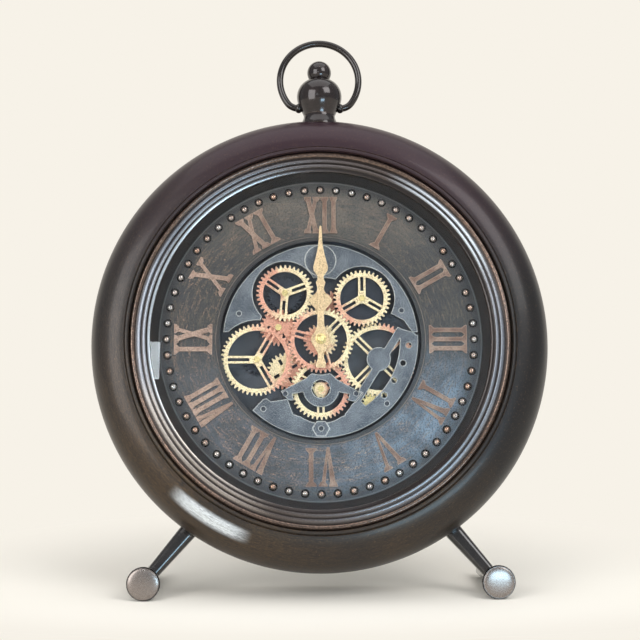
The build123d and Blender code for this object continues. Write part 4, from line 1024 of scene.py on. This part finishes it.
def serif(x, edge, width, stem, inward):
    """A bar at the height `edge` with brackets that ease into the stem."""
    bar_end = edge + inward * SERIF
    bracket_end = edge + inward * 2.6 * SERIF
    return [
        (x - width / 2, edge),
        (x + width / 2, edge),
        (x + width / 2 - 0.1, bar_end),
        (x + stem / 2 + 0.25, bracket_end),
        (x - stem / 2 - 0.25, bracket_end),
        (x - width / 2 + 0.1, bar_end),
    ]


def glyph(kind, x, width):
    """Outlines that together make one letter: I, V or X."""
    low, high = NUMERAL_INNER, NUMERAL_OUTER
    if kind == "I":
        stem = stroke((x, low), (x, high), STEM / 2)
        return [stem, serif(x, low, width, STEM, 1), serif(x, high, width, STEM, -1)]
    bar = min(5.6, 0.46 * width)
    left = x - width / 2 + bar / 2
    right = x + width / 2 - bar / 2
    if kind == "V":
        foot = low - 0.4
        return [
            [(left - 1.6, high), (left + 1.6, high), (x + 0.75, foot), (x - 0.75, foot)],
            [(right - 1.1, high), (right + 1.1, high), (x + 0.75, foot), (x - 0.45, foot)],
            serif(left, high, bar, STEM, -1),
            serif(right, high, bar, THIN, -1),
        ]
    return [
        stroke((right, low), (left, high), STEM / 2 + 0.15),
        stroke((left, low), (right, high), THIN / 2 + 0.1),
        serif(left, low, bar, THIN, 1),
        serif(right, low, bar, STEM, 1),
        serif(left, high, bar, STEM, -1),
        serif(right, high, bar, THIN, -1),
    ]


numerals = []
for hour, letters in NUMERALS.items():
    bm = bmesh.new()
    turn = Matrix.Rotation(math.radians(30 * hour), 4, "Y")
    shapes = [shape for letter in letters for shape in glyph(*letter)]
    slab(bm, shapes, NUMERAL_FRONT, NUMERAL_THICKNESS, NUMERAL_BEVEL, turn)
    numerals.append(finish_mesh(f"numeral_{hour or 12}", bm, CLOCK, numeral_copper, 30))

STUDS = 60
STUD_CIRCLE = 90.0
STUD_FOOT_RADIUS = 2.6
STUD_SUNK = 0.3
STUD_DOME_RADII = (1.75, 1.35)
STUD_BEAD_PLACE = (2.4, 0.0)
STUD_BEAD_RADII = (0.2, 0.16)
bead = [(r, -y) for r, y in arc(STUD_BEAD_PLACE, STUD_BEAD_RADII, 0, 168, 6)]
dome = [(r, -y) for r, y in arc((0.0, 0.0), STUD_DOME_RADII, 1.3, 90, 8)]
bm = bmesh.new()
for index in range(STUDS):
    stud = bmesh.new()
    spin(stud, [(0.0, STUD_SUNK), (STUD_FOOT_RADIUS, STUD_SUNK), *bead, *dome], 24, closed=False)
    angle = 2 * math.pi * index / STUDS
    seat = Vector((math.sin(angle), 0, math.cos(angle))) * STUD_CIRCLE * MM
    stud.transform(Matrix.Translation(seat))
    join(bm, stud)
studs = finish_mesh("dial_studs", bm, CLOCK, stud_dark)


# ---------------------------------------------------------------- hands
def smooth_outline(stations, steps=6):
    """Right and left edges of a hand from (height, half width) stations, eased between them."""
    heights = []
    for i in range(len(stations) - 1):
        p0 = stations[max(i - 1, 0)]
        p1, p2 = stations[i], stations[i + 1]
        p3 = stations[min(i + 2, len(stations) - 1)]
        for k in range(steps):
            t = k / steps
            point = []
            for a, b, c, d in zip(p0, p1, p2, p3):
                square = (2 * a - 5 * b + 4 * c - d) * t**2
                cube = (3 * b - a - 3 * c + d) * t**3
                point.append(0.5 * (2 * b + (c - a) * t + square + cube))
            heights.append(point)
    heights.append(list(stations[-1]))
    right = [(max(half, 0.15), height) for height, half in heights]
    return right + [(-x, z) for x, z in right[::-1]]


MINUTE_STATIONS = (
    (-16.9, 2.2), (-16.3, 2.8), (-14.8, 2.8), (-12.0, 2.0), (-9.7, 1.6), (-8.0, 2.0), (-6.0, 3.2),
    (-3.5, 4.2), (-0.5, 4.45), (3.0, 3.7), (6.5, 2.3), (10.0, 1.85), (20.0, 1.8), (29.5, 1.95),
    (31.4, 2.2), (32.6, 2.55), (33.7, 2.75), (34.7, 2.1), (36.0, 1.8), (37.4, 1.9), (39.0, 2.9),
    (40.6, 4.0), (42.4, 4.3), (44.2, 4.0), (47.2, 3.2), (51.4, 2.15), (56.0, 1.35), (60.0, 1.0),
    (64.0, 0.78), (66.8, 0.6), (67.6, 0.3),
)
HOUR_STATIONS = (
    (-5.4, 1.0), (-4.6, 3.3), (-2.0, 5.2), (1.0, 5.4), (4.5, 3.6), (8.0, 2.2), (12.0, 2.0),
    (15.8, 2.0), (17.6, 2.7), (19.8, 4.6), (22.0, 6.3), (23.6, 6.5), (25.4, 5.2), (27.4, 3.1),
    (29.5, 2.0), (34.0, 1.3), (40.0, 0.5),
)
MINUTE_BACK = -1.4
HOUR_BACK = 0.2
HAND_THICKNESS = 0.8
HAND_BEVEL = 0.28


def hand(name, stations, back):
    """A hand whose back is at the depth `back` and whose front edge is rounded."""
    bm = bmesh.new()
    slab(bm, [smooth_outline(stations)], back - HAND_THICKNESS, HAND_THICKNESS, HAND_BEVEL)
    return finish_mesh(name, bm, CLOCK, hand_gold, 30)


minute = hand("minute_hand_spade", MINUTE_STATIONS, MINUTE_BACK)
hour = hand("hour_hand_spade", HOUR_STATIONS, HOUR_BACK)
hand_cap = turned(
    "hand_cap_turned",
    eased(
        [
            (0.0, -2.2),
            (3.2, -2.2),
            (3.2, -2.7, 0.2),
            (2.6, -2.95, 0.2),
            *arc((0.0, -2.85), (2.45, 1.2), -4, -90, 8),
        ]
    ),
    CLOCK,
    brass,
    64,
    closed=False,
)

# ---------------------------------------------------------------- bodies, slots, replaced nodes
PIECES = [
    (shell, "case", "case_bronze", ("case_shell",)),
    (bezel, "case", "case_bronze", ("bezel_ring",)),
    (rehaut, "case", "rehaut_black", ("rehaut_ring",)),
    (neck, "case", "case_bronze", ("crown_neck",)),
    (knob, "case", "crown_black", ("crown_knob",)),
    (bow, "bow", "crown_black", ("bow_ring",)),
    (studs, "case", "dial_metal", ()),
    (minute, "minute_hand", "hand_gold", ("minute_hand",)),
    (hand_cap, "minute_hand", "brass", ("hand_cap",)),
    (hour, "hour_hand", "hand_gold", ("hour_hand",)),
]
for numeral in numerals:
    PIECES.append((numeral, "case", "dial_metal", ()))
for name, strut, rod, cap in feet:
    PIECES.append((strut, "case", "leg_black", ("leg_" + name,)))
    PIECES.append((rod, "case", "leg_black", ("foot_rod_" + name,)))
    PIECES.append((cap, "case", "foot_cap", ("foot_cap_" + name,)))
for piece, body, slot, nodes in PIECES:
    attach(piece, body)
    if nodes:
        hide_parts(*nodes)

# ---------------------------------------------------------------- stage
PAPER = rgb(247, 242, 232)
PAPER_FADE = (140.0, 300.0)
FRONT_STRETCH = 2.3
FLOOR_HALF = 4.0
WALL_START = 1.4
WALL_BEND = 0.8
AMBIENT = (0.95, 0.97, 1.0, 1.0)
AMBIENT_STRENGTH = 0.44


def paper_finish():
    """Paper that takes shadows near the clock and turns to an even glow further off.

    The glow begins nearer in front of the clock than beside or behind it.
    """
    s = Shader("studio_paper", Matrix.Identity(4))
    x, y, _ = s.split()
    deep = s.times(y, s.span(y, -10.0, 10.0, FRONT_STRETCH, 1.0))
    away = s.math("SQRT", s.weigh(x, x, deep, deep))
    matte = s.node("BsdfDiffuse", {"Color": PAPER, "Roughness": 0.0})
    plain = s.node("Emission", {"Color": PAPER, "Strength": 1.0})
    path = s.node("LightPath")
    seen = s.math("MAXIMUM", path.outputs["Is Camera Ray"], path.outputs["Is Glossy Ray"])
    seen = s.math("MAXIMUM", seen, path.outputs["Is Transmission Ray"])
    return s.mixed(s.times(seen, s.span(away, *PAPER_FADE, smooth=True)), matte, plain)


bm = bmesh.new()
bent = arc((WALL_START, WALL_BEND), (WALL_BEND, WALL_BEND), -90, 0, 10)
sweep = [(-FLOOR_HALF, 0.0), *bent, (WALL_START + WALL_BEND, FLOOR_HALF)]
rows = [[bm.verts.new((x, y, z)) for x in (-FLOOR_HALF, FLOOR_HALF)] for y, z in sweep]
for near, far in zip(rows, rows[1:]):
    bm.faces.new((near[0], near[1], far[1], far[0]))
floor = finish_mesh("studio_floor", bm, Matrix.Identity(4), paper_finish())

world = bpy.data.worlds.new("studio")
bpy.context.scene.world = world
world.use_nodes = True
tree = world.node_tree
tree.nodes.clear()
ambient = tree.nodes.new("ShaderNodeBackground")
ambient.inputs[0].default_value = AMBIENT
ambient.inputs[1].default_value = AMBIENT_STRENGTH
out = tree.nodes.new("ShaderNodeOutputWorld")
tree.links.new(ambient.outputs[0], out.inputs[0])


def lamp(name, place, size, watts, colour=(1, 1, 1), target=(0, 0, 0.15)):
    """A rectangular lamp that faces `target`, in metres."""
    data = bpy.data.lights.new(name, "AREA")
    data.shape = "RECTANGLE"
    data.size, data.size_y = size
    data.energy = watts
    data.color = colour
    made = bpy.data.objects.new(name, data)
    made.location = place
    made.rotation_euler = (Vector(target) - Vector(place)).to_track_quat("-Z", "Y").to_euler()
    bpy.context.scene.collection.objects.link(made)


lamp("softbox_left", (-1.15, -1.3, 0.5), (1.1, 1.5), 22)
lamp("softbox_right", (0.95, -1.1, 1.15), (0.9, 0.9), 13)
lamp("overhead", (0.0, -0.2, 1.8), (2.2, 1.6), 13)
lamp("low_card", (0.25, -0.82, 0.07), (0.3, 0.13), 1.7, (0.5, 0.78, 1.0), (0.1, 0.0, 0.03))
lamp("glass_card", (-0.206, -0.975, 0.438), (0.034, 0.05), 0.16, (0.86, 0.95, 1.0), (-0.09, 0.0, 0.15))

# ---------------------------------------------------------------- camera
CAMERA_PLACE = (-0.020, -0.7846, 0.1688)
CAMERA_LENS = 73.7
CAMERA_SENSOR = 36.0
CAMERA_YAW = math.radians(1.46)
CAMERA_PITCH = math.radians(-0.635)
camera_data = bpy.data.cameras.new("camera")
camera_data.lens = CAMERA_LENS
camera_data.sensor_width = CAMERA_SENSOR
camera = bpy.data.objects.new("camera", camera_data)
camera.location = CAMERA_PLACE
level = math.cos(CAMERA_PITCH)
forward = Vector((math.sin(CAMERA_YAW) * level, math.cos(CAMERA_YAW) * level, math.sin(CAMERA_PITCH)))
camera.rotation_euler = forward.to_track_quat("-Z", "Y").to_euler()
bpy.context.scene.collection.objects.link(camera)
bpy.context.scene.camera = camera
bpy.context.scene.view_settings.view_transform = "Standard"
